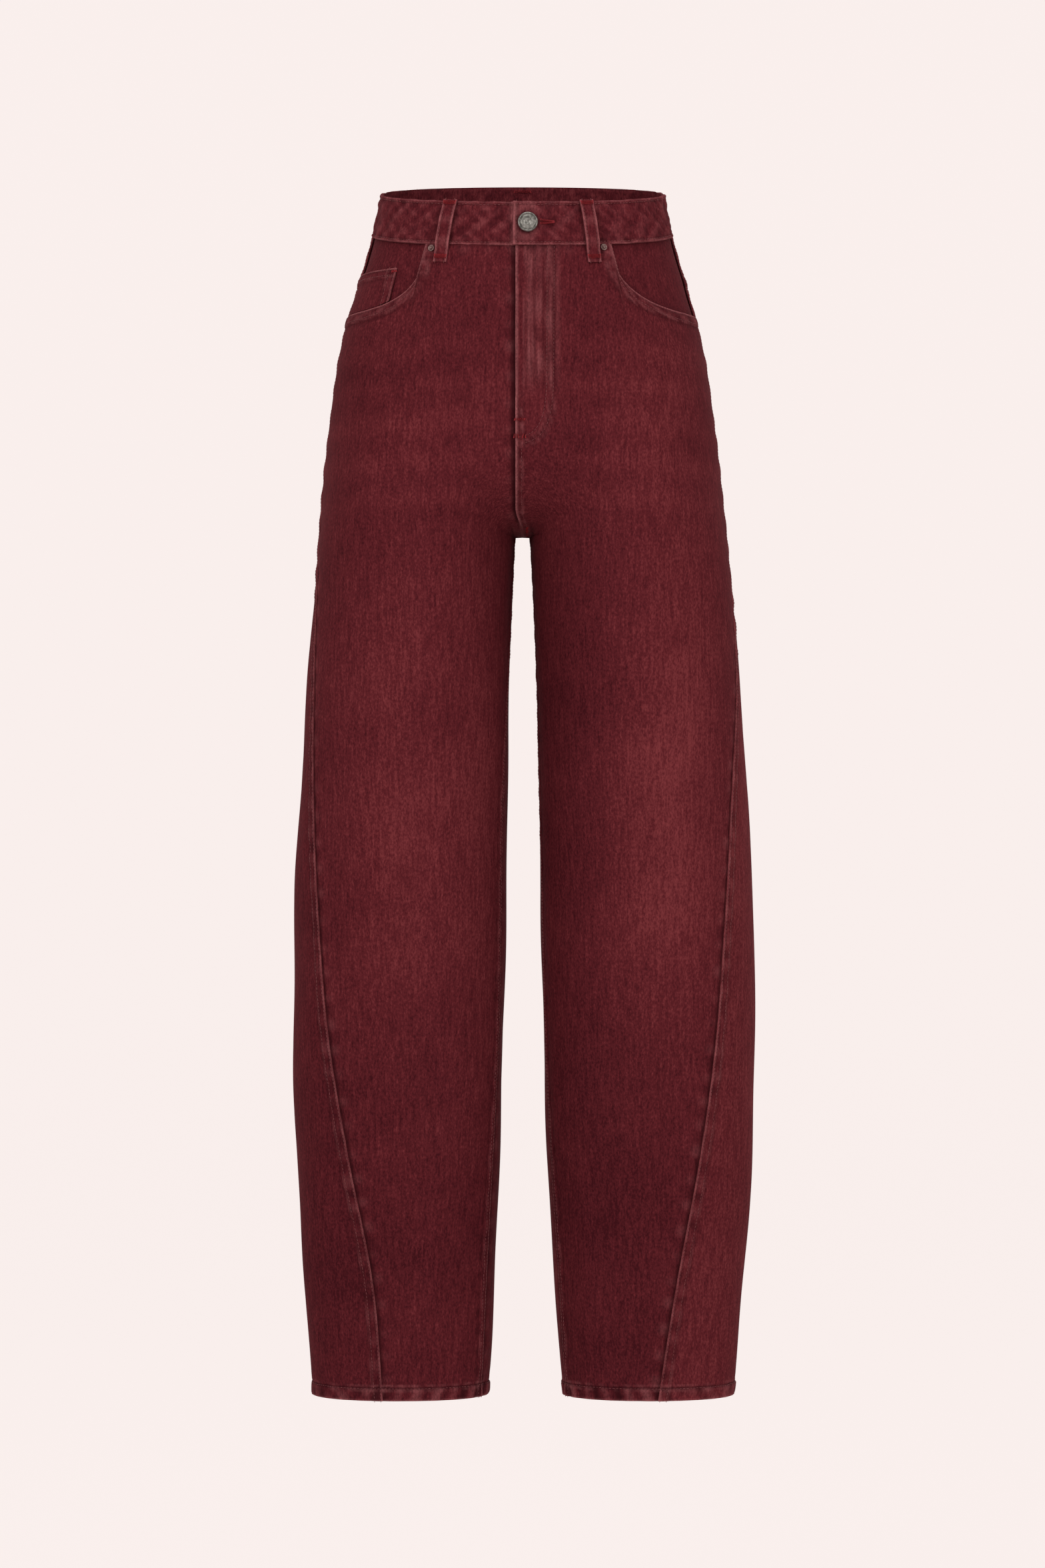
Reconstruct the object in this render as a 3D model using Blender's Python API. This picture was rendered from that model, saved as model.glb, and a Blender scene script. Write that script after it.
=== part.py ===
"""High-waisted five-pocket jeans with barrel legs, filled out as they are worn.

Every piece of cloth is a thin wall that follows one hollow form, open at the waist and at both hems.
The front faces -Y, the wearer's left is +X, and the origin is the middle of the waist opening.
"""

import math

import bpy
import numpy as np

MM = 0.001

# Heights, in metres from the side of the waist rim.
CROTCH = -0.2966
HEM = -1.036
RIM_TILT = 0.187
WAISTBAND_HEIGHT = 0.036
HEM_TURN_UP = 0.011

# Cloth, in metres. Offsets are measured outwards from the form.
DENIM = 0.0013
SEAM_GAP = 0.0003
LAYER_GAP = 0.0007
POCKET_GAP = 0.0014
FACING_GAP = 0.0011
WAISTBAND_FACE = 0.0006
WAISTBAND_THICKNESS = 0.0024
HEM_THICKNESS = 0.0030

# The form: roundness of its sections, the curves of the front and back rise, and the fork.
ROUNDNESS = 2.15
RISE_ROUNDNESS = 2.3
FRONT_RISE_CURVE = 0.095
BACK_RISE_CURVE = 0.150
WEB_SHARPNESS = 5.0
WEB_Q = 0.05
LEG_BLEND = 0.06
TORSO_END = -0.13

# Sections in millimetres. z is the height, out and in are distances from the middle plane, front and back
# are the depths of the two faces, and spread says how far apart the fullest points of the two sides stand.
SECTION_COLUMNS = ("z", "out_right", "out_left", "in_right", "in_left", "front", "back", "spread")
SECTIONS = (
    (30, 116.0, 116.0, 6.3, 6.3, -90, 88, 0.00),
    (0, 121.5, 121.5, 6.3, 6.3, -94, 92, 0.02),
    (-35, 128.7, 128.7, 6.3, 6.3, -99, 99, 0.06),
    (-83, 142.8, 142.3, 6.3, 6.3, -104, 109, 0.14),
    (-112, 152.1, 150.6, 6.3, 6.3, -106, 115, 0.20),
    (-140, 158.4, 157.2, 6.3, 6.3, -107, 120, 0.26),
    (-184, 164.7, 163.9, 6.3, 6.3, -107, 125, 0.35),
    (-227, 169.9, 169.2, 6.3, 6.3, -106, 125, 0.43),
    (-284, 174.5, 175.1, 6.3, 6.3, -105, 120, 0.51),
    (-328, 178.0, 179.1, 8.1, 8.6, -104, 113, 0.52),
    (-414, 185.5, 187.2, 10.9, 12.1, -101, 104, 0.52),
    (-500, 191.2, 193.0, 12.1, 13.8, -97, 98, 0.52),
    (-587, 195.8, 197.6, 13.8, 15.6, -92, 93, 0.52),
    (-673, 197.8, 200.4, 15.0, 17.3, -86, 88, 0.52),
    (-731, 198.1, 201.4, 16.1, 18.4, -82, 85, 0.52),
    (-788, 197.0, 200.2, 17.9, 20.2, -77, 81, 0.52),
    (-846, 194.4, 197.4, 20.0, 22.5, -72, 77, 0.52),
    (-904, 190.9, 193.5, 22.3, 25.0, -66, 72, 0.52),
    (-961, 187.0, 188.9, 25.2, 28.4, -61, 67, 0.52),
    (-1019, 182.5, 183.4, 29.0, 32.9, -57, 63, 0.52),
    (-1036, 181.0, 181.5, 30.4, 34.5, -56, 62, 0.52),
)

# Where the seams run, in degrees forward of the outermost line and of the innermost line of each leg.
SEAM_COLUMNS = ("z", "side_right", "side_left", "inseam_right", "inseam_left")
SEAMS = (
    (30, 0, 0, 0, 0),
    (-220, 0, 0, 0, 0),
    (-297, 6, 2, 0, 0),
    (-350, 17, 8, 4, 1),
    (-414, 25, 18, 9, 3),
    (-500, 32, 33, 17, 5),
    (-610, 42, 45, 18, 8),
    (-706, 50, 53, 18, 9),
    (-827, 64, 64, 22, 15),
    (-939, 77, 76, 25, 20),
    (-1036, 81, 85, 23, 18),
)

# Openings of the front pockets: distance and height of the end at the waistband, height at the side seam.
SCOOPS = {"right": (0.0819, -0.0515, -0.1075), "left": (0.0745, -0.0500, -0.1075)}
SCOOP_ROUNDNESS = 2.3
FACING_UNDERLAP = 0.012

# The coin pocket lies on the facing of the wearer's right front pocket.
COIN_TOP = -0.0715
COIN_INNER_X = 0.1070
COIN_OUTER_Q = 1.93
COIN_CLEAR = 0.0015

# The opening at the front: the wearer's left side laps over the right by this much.
FLY_LAP = 0.0060
FLY_RUN_OUT = 0.0220
FLY_TOP_Z = -0.0540
ABOVE_FORK = 0.0020
BAND_LAP = 0.0080
BAND_UNDERLAP = 0.0280
BAND_RISE_START = 0.0450
BAND_RISE = 0.0018
BAND_DIP_START = 0.0160
BAND_DIP_LENGTH = 0.0240
BAND_DIP = 0.0012
BAND_MIDDLE_Z = -0.0300

# The back: the yoke seam falls towards the middle, and the pockets lie on the back panels.
YOKE_SIDE_Z = -0.081
YOKE_DROP = 0.022
POCKET_MIDDLE_Q = 3.22
POCKET_TOP_Z = -0.1190
POCKET_TOP_WIDTH = 0.1300
POCKET_BOTTOM_WIDTH = 0.1080
POCKET_SIDE_HEIGHT = 0.1150
POCKET_TIP_HEIGHT = 0.1380
POCKET_LEAN = 0.0060

# Belt loops: name, side, face, and distance of the top and the bottom end from the middle plane.
LOOPS = (
    ("belt_loop_front_right", "right", "front", 0.0605, 0.0700),
    ("belt_loop_front_left", "left", "front", 0.0535, 0.0610),
    ("belt_loop_side_right", "right", "back", 0.0990, 0.1030),
    ("belt_loop_side_left", "left", "back", 0.0990, 0.1030),
    ("belt_loop_middle_back", "left", "back", 0.0000, 0.0000),
)
LOOP_WIDTH = 0.0112
LOOP_THICKNESS = 0.0018
LOOP_BELOW_BAND = 0.0160
LOOP_STAND_OFF = 0.0022
LOOP_ABOVE_RIM = 0.0005
LOOP_STEP_DOWN = 0.0060
LOOP_GUESS_Z = -0.0200
LOOP_DOWN = (0.0, 0.10, 0.24, 0.45, 0.66, 0.80, 0.90, 1.0)
LOOP_LIFT = (0.0, 0.25, 0.80, 1.0, 0.85, 0.35, 0.05, 0.0)

# Metal: the shank button on the lap and a rivet at the top of each pocket opening.
BUTTON_RADIUS = 0.0085
BUTTON_X = 0.0045
METAL_GAP = 0.0004
RIVET_RADIUS = 0.0029
RIVETS = {"right": (0.0770, -0.0566), "left": (0.0686, -0.0562)}

# Resolution of the walls.
FRONT_COLUMNS = 12
CORNER_COLUMN = 6
BACK_COLUMNS = 15
LOWER_ROWS = (
    -0.1075, -0.132, -0.160, -0.185, -0.205, -0.228, -0.249, -0.267, -0.281, -0.2905, -0.2950,
    CROTCH, CROTCH - 0.0005, -0.3020, -0.312, -0.328, -0.352, -0.388, -0.428, -0.468, -0.508, -0.548,
    -0.590, -0.632, -0.675, -0.718, -0.761, -0.804, -0.848, -0.892, -0.936, -0.980,
    HEM + HEM_TURN_UP + 0.0005, HEM + HEM_TURN_UP - 0.0005, HEM,
)
SETTLED_ROW = 6
WAISTBAND_COLUMNS = 26
HALVINGS = 32
RIM_STEPS = 6

BURGUNDY = (0.105, 0.016, 0.020, 1.0)
AGED_NICKEL = (0.30, 0.29, 0.27, 1.0)
COPPER = (0.32, 0.17, 0.12, 1.0)

SIGN = {"right": -1.0, "left": 1.0}
OTHER = {"right": "left", "left": "right"}


def table_curve(names, rows, name):
    """Heights and values of one named column, ordered from the bottom up."""
    table = np.array(rows, dtype=float)[::-1]
    return table[:, 0] * MM, table[:, names.index(name)]


def smooth(curve, z):
    """Smooth curve through a column's values, read at the heights z."""
    heights, values = curve
    slopes = np.gradient(values, heights)
    z = np.clip(z, heights[0], heights[-1])
    i = np.clip(np.searchsorted(heights, z) - 1, 0, len(heights) - 2)
    step = heights[i + 1] - heights[i]
    t = (z - heights[i]) / step
    low = (1 + 2 * t) * (1 - t) ** 2 * values[i] + t * (1 - t) ** 2 * step * slopes[i]
    high = t * t * (3 - 2 * t) * values[i + 1] + t * t * (t - 1) * step * slopes[i + 1]
    return low + high


SECTION = {name: table_curve(SECTION_COLUMNS, SECTIONS, name) for name in SECTION_COLUMNS}
SEAM = {name: table_curve(SEAM_COLUMNS, SEAMS, name) for name in SEAM_COLUMNS}


def ease(t):
    """Smooth step from 0 to 1."""
    t = np.clip(t, 0.0, 1.0)
    return t * t * (3 - 2 * t)


def rise_share(z, height):
    """How much of the full depth the rise curve has reached at height z above the fork."""
    s = np.clip((z - CROTCH) / height, 0.0, 1.0)
    return (1 - (1 - s) ** RISE_ROUNDNESS) ** (1 / RISE_ROUNDNESS)


def form_point(side, q, z):
    """Point on the outside of the form.

    q runs from 0 at the inner front through 1 at the front, 2 at the side and 3 at the back to 4. Below the
    fork a leg is a closed loop from WEB_Q to 4 - WEB_Q, because the web between the legs has ended.
    """
    q, z = np.broadcast_arrays(np.asarray(q, float), np.asarray(z, float))
    out = smooth(SECTION["out_" + side], z) * MM
    inner = smooth(SECTION["in_" + side], z) * MM
    front = smooth(SECTION["front"], z) * MM
    back = smooth(SECTION["back"], z) * MM
    spread = smooth(SECTION["spread"], z)
    on_back = q > 2
    below = z < CROTCH
    turn = np.clip(np.where(on_back, 4 - q, q), 0, 2)

    leg_centre = (out + inner) / 2
    leg_share = ease((CROTCH + LEG_BLEND - z) / LEG_BLEND)
    centre = np.maximum((1 - leg_share) * spread * out + leg_share * leg_centre, 0.001)
    centre = np.where(below, leg_centre, centre)

    power = 2 / ROUNDNESS
    inner_turn = np.clip((turn - WEB_Q) / (1 - WEB_Q), 0, 1) * math.pi / 2
    outer_turn = np.clip(turn - 1, 0, 1) * math.pi / 2
    web_x = inner * np.clip(turn / WEB_Q, 0, 1)
    inner_x = (leg_centre - inner) * (1 - np.clip(np.cos(inner_turn), 0, 1) ** power)
    outer_x = (out - leg_centre) * np.sin(outer_turn) ** power
    leg_x = np.where(below, inner, web_x) + inner_x + outer_x
    torso_x = out * np.sin(turn * math.pi / 4) ** power
    leg_like = np.where(below, 1.0, ease((TORSO_END - z) / (TORSO_END - CROTCH)))
    x = leg_like * leg_x + (1 - leg_like) * torso_x

    inner_ratio = np.clip((centre - x) / np.maximum(centre - inner, 0.001), 0, 1)
    outer_ratio = np.clip((x - centre) / np.maximum(out - centre, 0.001), 0, 1)
    ratio = np.where(x < centre, inner_ratio, outer_ratio)
    fullness = (1 - ratio ** ROUNDNESS) ** (1 / ROUNDNESS)
    share = np.where(on_back, rise_share(z, BACK_RISE_CURVE), rise_share(z, FRONT_RISE_CURVE))
    filled = (1 - (1 - fullness ** WEB_SHARPNESS) * (1 - share ** WEB_SHARPNESS)) ** (1 / WEB_SHARPNESS)
    fullness = np.where(below | (x >= centre), fullness, filled)
    y = (front + back) / 2 + np.where(on_back, 1.0, -1.0) * (back - front) / 2 * fullness
    return np.stack([SIGN[side] * x, y, z], axis=-1)


def wrapped_point(side, q, z):
    """Form point where q may run past its ends: across the middle above the fork, round the leg below it."""
    q, z = np.broadcast_arrays(np.asarray(q, float), np.asarray(z, float))
    below = z < CROTCH
    loop = 4 - 2 * WEB_Q
    round_leg = np.where(q < WEB_Q, q + loop, np.where(q > 4 - WEB_Q, q - loop, q))
    own = np.where(below, round_leg, np.clip(q, 0, 4))
    point = form_point(side, own, z)
    across = ((q < 0) | (q > 4)) & ~below
    if across.any():
        mirrored = np.clip(np.where(q < 0, -q, 8 - q), 0, 4)
        point = np.where(across[..., None], form_point(OTHER[side], mirrored, z), point)
    return point


def form_normal(side, q, z):
    """Outward unit normal of the form."""
    dq = 0.02
    dz = 0.0015
    along = wrapped_point(side, q + dq, z) - wrapped_point(side, q - dq, z)
    down = wrapped_point(side, q, z - dz) - wrapped_point(side, q, z + dz)
    normal = np.cross(along, down) * -SIGN[side]
    return normal / np.linalg.norm(normal, axis=-1, keepdims=True)


def q_at(side, x, z, face):
    """The q on the front or back face at which the form is x from the middle plane, at height z."""
    x, z = np.broadcast_arrays(np.asarray(x, float), np.asarray(z, float))
    near = np.full(x.shape, 0.0 if face == "front" else 4.0)
    far = np.full(x.shape, 2.0)
    for _ in range(HALVINGS):
        middle = (near + far) / 2
        inside = np.abs(form_point(side, middle, z)[..., 0]) < x
        near = np.where(inside, middle, near)
        far = np.where(inside, far, middle)
    return (near + far) / 2


def rim_height(side, q, below):
    """Height of the line that lies the given distance below the tilted waist rim."""
    z = np.full(np.shape(q), -below, dtype=float)
    for _ in range(RIM_STEPS):
        z = RIM_TILT * wrapped_point(side, q, z)[..., 1] - below
    return z


def side_q(side, z):
    return 2 - smooth(SEAM["side_" + side], z) / 90


def inseam_q(side, z):
    """Inner edge of the front panel: off the middle above the fork, the inseam below it."""
    lap = q_at("right", FLY_LAP, np.maximum(z, CROTCH + ABOVE_FORK), "front")
    lap = lap * ease((z - CROTCH) / FLY_RUN_OUT) * -SIGN[side]
    turn = smooth(SEAM["inseam_" + side], z) / 90
    return np.where(z < CROTCH, WEB_Q + (1 - WEB_Q) * turn, lap)


def pull_in(points, gap):
    """Move a grid's four edges inwards, so that neighbours stand a gap apart."""
    for edge, inner in ((0, 1), (-1, -2)):
        step = points[:, inner] - points[:, edge]
        points[:, edge] += step * (gap / np.linalg.norm(step, axis=-1, keepdims=True))
    for edge, inner in ((0, 1), (-1, -2)):
        step = points[inner] - points[edge]
        points[edge] += step * (gap / np.linalg.norm(step, axis=-1, keepdims=True))
    return points


def material(name, colour, roughness, metallic):
    found = bpy.data.materials.get(name)
    if found:
        return found
    made = bpy.data.materials.new(name)
    made.use_nodes = True
    shader = made.node_tree.nodes["Principled BSDF"]
    shader.inputs["Base Color"].default_value = colour
    shader.inputs["Roughness"].default_value = roughness
    shader.inputs["Metallic"].default_value = metallic
    return made


def denim(name):
    return material(name, BURGUNDY, 0.85, 0.0)


def add_object(name, verts, faces, surface, flip=False):
    mesh = bpy.data.meshes.new(name)
    if flip:
        faces = [tuple(reversed(face)) for face in faces]
    mesh.from_pydata([tuple(v) for v in verts], [], faces)
    mesh.shade_smooth()
    mesh.set_sharp_from_angle(angle=math.radians(40))
    mesh.materials.append(surface)
    made = bpy.data.objects.new(name, mesh)
    bpy.context.collection.objects.link(made)
    return made


def wall(name, points, normals, outer, inner, surface, flip):
    """A closed wall from a grid of points, between an outer and an inner offset along the normals."""
    rows, columns = points.shape[:2]
    outer = np.broadcast_to(np.asarray(outer, float), (rows, columns))[..., None]
    inner = np.broadcast_to(np.asarray(inner, float), (rows, columns))[..., None]
    outside = (points + normals * outer).reshape(-1, 3)
    inside = (points + normals * inner).reshape(-1, 3)
    count = rows * columns
    faces = []
    for i in range(rows - 1):
        for j in range(columns - 1):
            a = i * columns + j
            b = a + columns
            faces.append((a, b, b + 1, a + 1))
            faces.append((count + a, count + a + 1, count + b + 1, count + b))
    top = [j for j in range(columns)]
    right = [i * columns + columns - 1 for i in range(1, rows)]
    bottom = [(rows - 1) * columns + j for j in range(columns - 2, -1, -1)]
    left = [i * columns for i in range(rows - 2, 0, -1)]
    rim = top + right + bottom + left
    for k, a in enumerate(rim):
        b = rim[(k + 1) % len(rim)]
        faces.append((a, b, count + b, count + a))
    return add_object(name, np.concatenate([outside, inside]), faces, surface, flip)


def scoop_height(side, q):
    """Height of the pocket opening at q, which runs from the corner at the waistband to the side seam."""
    top_x, top_z, side_z = SCOOPS[side]
    end_x = np.abs(form_point(side, 2.0, side_z)[0])
    low = np.full(np.shape(q), side_z)
    high = np.full(np.shape(q), top_z)
    for _ in range(HALVINGS):
        middle = (low + high) / 2
        x = np.abs(form_point(side, q, middle)[..., 0])
        along = np.clip((end_x - x) / (end_x - top_x), 0, 1)
        curve = top_z + (side_z - top_z) * (1 - along ** SCOOP_ROUNDNESS) ** (1 / SCOOP_ROUNDNESS)
        low = np.where(middle > curve, low, middle)
        high = np.where(middle > curve, middle, high)
    return (low + high) / 2


def front_panel(side):
    """Front of one leg and hip, with the pocket opening cut out of its top corner."""
    rows = np.array(LOWER_ROWS)
    corner_q = float(q_at(side, SCOOPS[side][0], SCOOPS[side][1], "front"))
    start_q = float(inseam_q(side, np.array(FLY_TOP_Z)))
    flat_q = np.linspace(start_q, corner_q, CORNER_COLUMN + 1)
    scoop_q = np.linspace(corner_q, 2.0, FRONT_COLUMNS - CORNER_COLUMN + 1)[1:]
    top_q = np.concatenate([flat_q, scoop_q])
    top_z = np.concatenate([rim_height(side, flat_q, WAISTBAND_HEIGHT), scoop_height(side, scoop_q)])

    share = np.linspace(0, 1, FRONT_COLUMNS + 1)
    q_rows = []
    z_rows = []
    for k, z in enumerate(rows):
        settled = ease(k / SETTLED_ROW)
        start = inseam_q(side, z)
        even_q = start + (side_q(side, z) - start) * share
        q_rows.append(even_q * settled + top_q * (1 - settled))
        z_rows.append(z + (top_z - rows[0]) * (1 - settled))
    q = np.array(q_rows)
    z = np.array(z_rows)
    q[:, 0] = inseam_q(side, z[:, 0])
    q[:, -1] = side_q(side, z[:, -1])
    points = pull_in(wrapped_point(side, q, z), SEAM_GAP / 2)
    points[-1, :, 2] = HEM
    normals = form_normal(side, q, z)
    inner = np.where(z < HEM + HEM_TURN_UP, -HEM_THICKNESS, -DENIM)
    return wall("front_panel_" + side, points, normals, 0.0, inner, denim("denim"), side == "right")


def yoke_line(side, q):
    """Height of the yoke seam at q on the back."""
    return YOKE_SIDE_Z - YOKE_DROP * (q - 2) / 2


def back_columns(side, z):
    """Edges of the back panel at height z."""
    end = np.where(z < CROTCH, 4 - 2 * WEB_Q + inseam_q(side, z), 4.0)
    return side_q(side, z), end


def back_panel(side):
    """Back of one leg and seat, from the yoke seam to the hem."""
    rows = np.array((YOKE_SIDE_Z,) + LOWER_ROWS)
    share = np.linspace(0, 1, BACK_COLUMNS + 1)
    q_rows = []
    z_rows = []
    for k, z in enumerate(rows):
        start, end = back_columns(side, np.array(z))
        q = start + (end - start) * share
        fall = -YOKE_DROP * share * (1 - ease(k / SETTLED_ROW))
        q_rows.append(q)
        z_rows.append(z + fall)
    q = np.array(q_rows)
    z = np.array(z_rows)
    points = pull_in(wrapped_point(side, q, z), SEAM_GAP / 2)
    points[-1, :, 2] = HEM
    normals = form_normal(side, q, z)
    inner = np.where(z < HEM + HEM_TURN_UP, -HEM_THICKNESS, -DENIM)
    return wall("back_panel_" + side, points, normals, 0.0, inner, denim("denim"), side == "right")


def back_yoke(side):
    """The shaped strip between the waistband and the back panel."""
    share = np.linspace(0, 1, BACK_COLUMNS + 1)
    q_line = 2 + 2 * share
    top = rim_height(side, q_line, WAISTBAND_HEIGHT)
    bottom = yoke_line(side, q_line)
    down = np.linspace(0, 1, 4)[:, None]
    z = top + (bottom - top) * down
    q = np.broadcast_to(q_line, z.shape)
    points = pull_in(wrapped_point(side, q, z), SEAM_GAP / 2)
    normals = form_normal(side, q, z)
    return wall("back_yoke_" + side, points, normals, 0.0, -DENIM, denim("denim"), side == "right")


def pocket_facing(side):
    """The denim that shows inside the front pocket opening."""
    corner_q = float(q_at(side, SCOOPS[side][0], SCOOPS[side][1], "front"))
    inner_q = float(q_at(side, SCOOPS[side][0] - FACING_UNDERLAP, SCOOPS[side][1], "front"))
    scoop_q = np.linspace(corner_q, 2.0, FRONT_COLUMNS - CORNER_COLUMN + 1)
    q_line = np.concatenate([[inner_q], scoop_q])
    scoop_z = np.concatenate([[SCOOPS[side][1]], scoop_height(side, scoop_q)])
    top = rim_height(side, q_line, WAISTBAND_HEIGHT + SEAM_GAP)
    down = np.linspace(0, 1, 6)[:, None]
    z = top + (scoop_z - FACING_UNDERLAP - top) * down
    q = np.broadcast_to(q_line, z.shape)
    points = pull_in(wrapped_point(side, q, z), SEAM_GAP / 2)
    normals = form_normal(side, q, z)
    face = -DENIM - FACING_GAP
    return wall("pocket_facing_" + side, points, normals, face, face - DENIM,
                denim("denim"), side == "right")


def coin_pocket():
    """The small fifth pocket on the right facing, cut off by the pocket opening."""
    side = "right"
    inner_q = float(q_at(side, COIN_INNER_X, COIN_TOP, "front"))
    q_line = np.linspace(inner_q, COIN_OUTER_Q, 6)
    bottom = scoop_height(side, q_line) + COIN_CLEAR
    down = np.linspace(0, 1, 5)[:, None]
    z = COIN_TOP + (bottom - COIN_TOP) * down
    q = np.broadcast_to(q_line, z.shape)
    points = wrapped_point(side, q, z)
    normals = form_normal(side, q, z)
    seat = LAYER_GAP - DENIM - FACING_GAP
    return wall("coin_pocket", points, normals, seat + DENIM, seat, denim("denim"), True)


def back_pocket(side):
    """A patch pocket with a pointed foot on the back panel."""
    across = np.linspace(-1, 1, 9)
    down = np.linspace(0, 1, 8)[:, None]
    half = (POCKET_TOP_WIDTH + (POCKET_BOTTOM_WIDTH - POCKET_TOP_WIDTH) * down) / 2
    height = POCKET_SIDE_HEIGHT + (POCKET_TIP_HEIGHT - POCKET_SIDE_HEIGHT) * (1 - np.abs(across))
    step = form_point(side, POCKET_MIDDLE_Q + 0.1, POCKET_TOP_Z) - form_point(side, POCKET_MIDDLE_Q, POCKET_TOP_Z)
    q = POCKET_MIDDLE_Q - half * across * 0.1 / np.linalg.norm(step)
    z = POCKET_TOP_Z + POCKET_LEAN * across - height * down
    points = wrapped_point(side, q, z)
    normals = form_normal(side, q, z)
    return wall("back_pocket_" + side, points, normals, POCKET_GAP + DENIM, POCKET_GAP,
                denim("denim"), side == "left")


def waistband():
    """One strip round the waist, its left end lapped over its right end at the front."""
    under_q = float(q_at("left", BAND_UNDERLAP, BAND_MIDDLE_Z, "front"))
    lap_q = float(q_at("right", BAND_LAP, BAND_MIDDLE_Z, "front"))
    half_round = np.linspace(0.0, 4.0, WAISTBAND_COLUMNS + 1)
    right_q = np.concatenate([np.linspace(-under_q, 0.0, 5)[:-1], half_round])
    left_q = np.concatenate([half_round[::-1][1:], [-lap_q / 2, -lap_q]])
    drops = np.array([0.0, WAISTBAND_HEIGHT / 2, WAISTBAND_HEIGHT])[:, None]
    grids = []
    normal_grids = []
    offsets = []
    for side, q_line in (("right", right_q), ("left", left_q)):
        q = np.broadcast_to(q_line, (3, len(q_line)))
        z = np.array([rim_height(side, q_line, drop) for drop in drops[:, 0]])
        point = wrapped_point(side, q, z)
        grids.append(point)
        normal_grids.append(form_normal(side, q, z))
        from_middle = SIGN[side] * point[..., 0]
        on_front = (q < 2)
        if side == "right":
            dip = ease((BAND_DIP_START - from_middle) / BAND_DIP_LENGTH)
            offsets.append(WAISTBAND_FACE - BAND_DIP * dip * on_front)
        else:
            rise = ease((BAND_RISE_START - from_middle) / BAND_RISE_START)
            offsets.append(WAISTBAND_FACE + BAND_RISE * rise * on_front)
    points = np.concatenate(grids, axis=1)
    normals = np.concatenate(normal_grids, axis=1)
    outer = np.concatenate(offsets, axis=1)
    points[-1, :, 2] += SEAM_GAP / 2
    return wall("waistband", points, normals, outer, outer - WAISTBAND_THICKNESS,
                denim("denim"), True)


def belt_loop(name, side, face, top_x, bottom_x):
    """A folded strip, seated at both ends and standing off the waistband between them."""
    down = np.array(LOOP_DOWN)
    lift = np.array(LOOP_LIFT)
    length = WAISTBAND_HEIGHT + LOOP_BELOW_BAND
    middle_x = top_x + (bottom_x - top_x) * down
    sides = np.array([-0.5, 0.0, 0.5])
    z_guess = LOOP_GUESS_Z - down * length
    points = np.zeros((len(down), 3, 3))
    normals = np.zeros_like(points)
    for i in range(len(down)):
        for j in range(3):
            x = middle_x[i] + sides[j] * LOOP_WIDTH
            own = side if x >= 0 else OTHER[side]
            q = float(q_at(own, abs(x), z_guess[i], face))
            z = rim_height(own, np.array(q), down[i] * length - LOOP_ABOVE_RIM)
            points[i, j] = wrapped_point(own, q, z)
            normals[i, j] = form_normal(own, q, z)
    on_band = ease((WAISTBAND_HEIGHT + LOOP_STEP_DOWN - down * length) / LOOP_STEP_DOWN)
    seat = LAYER_GAP + WAISTBAND_FACE * on_band
    inner = (seat + LOOP_STAND_OFF * lift)[:, None]
    flip = (side == "right") == (face == "front")
    return wall(name, points, normals, inner + LOOP_THICKNESS, inner, denim("denim"), flip)


def turned(name, profile, sides, centre, normal, surface):
    """A solid of revolution: profile gives (radius, height) from the foot's rim to the top's middle."""
    normal = normal / np.linalg.norm(normal)
    across = np.cross(normal, (0.0, 0.0, 1.0))
    across = across / np.linalg.norm(across)
    up = np.cross(across, normal)
    verts = []
    faces = []
    for radius, height in profile:
        for k in range(sides):
            angle = 2 * math.pi * k / sides
            ring = across * math.cos(angle) + up * math.sin(angle)
            verts.append(centre + ring * radius + normal * height)
    for i in range(len(profile) - 1):
        for k in range(sides):
            a = i * sides + k
            b = i * sides + (k + 1) % sides
            faces.append((a, b, b + sides, a + sides))
    faces.append(tuple(reversed(range(sides))))
    last = (len(profile) - 1) * sides
    faces.append(tuple(range(last, last + sides)))
    return add_object(name, verts, faces, surface, flip=True)


def shank_button():
    """Cap on a short shank that comes up through the lap of the waistband."""
    z = float(rim_height("left", np.array(WEB_Q), WAISTBAND_HEIGHT / 2))
    q = float(q_at("left", BUTTON_X, z, "front"))
    centre = wrapped_point("left", q, z)
    normal = form_normal("left", q, z)
    seat = WAISTBAND_FACE + BAND_RISE + METAL_GAP
    r = BUTTON_RADIUS
    profile = (
        (r * 0.42, seat),
        (r * 0.42, seat + 0.0010),
        (r * 0.94, seat + 0.0012),
        (r, seat + 0.0018),
        (r, seat + 0.0026),
        (r * 0.93, seat + 0.0033),
        (r * 0.82, seat + 0.0034),
        (r * 0.76, seat + 0.0028),
        (r * 0.30, seat + 0.0030),
    )
    return turned("shank_button", profile, 24, centre, normal, material("aged_metal", AGED_NICKEL, 0.42, 0.9))


def rivet(side):
    """A small domed rivet at the top of the pocket opening."""
    x, z = RIVETS[side]
    q = float(q_at(side, x, z, "front"))
    centre = wrapped_point(side, q, z)
    normal = form_normal(side, q, z)
    r = RIVET_RADIUS
    seat = METAL_GAP
    profile = (
        (r * 0.9, seat),
        (r, seat + 0.0004),
        (r * 0.88, seat + 0.0009),
        (r * 0.50, seat + 0.0008),
        (r * 0.42, seat + 0.0014),
        (r * 0.20, seat + 0.0017),
    )
    return turned("rivet_" + side, profile, 14, centre, normal, material("rivet_metal", COPPER, 0.45, 0.85))


def main():
    for found in list(bpy.data.objects):
        bpy.data.objects.remove(found)
    for side in ("right", "left"):
        front_panel(side)
        back_panel(side)
        back_yoke(side)
        pocket_facing(side)
        back_pocket(side)
        rivet(side)
    coin_pocket()
    waistband()
    for name, side, face, top_x, bottom_x in LOOPS:
        belt_loop(name, side, face, top_x, bottom_x)
    shank_button()


main()
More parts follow.
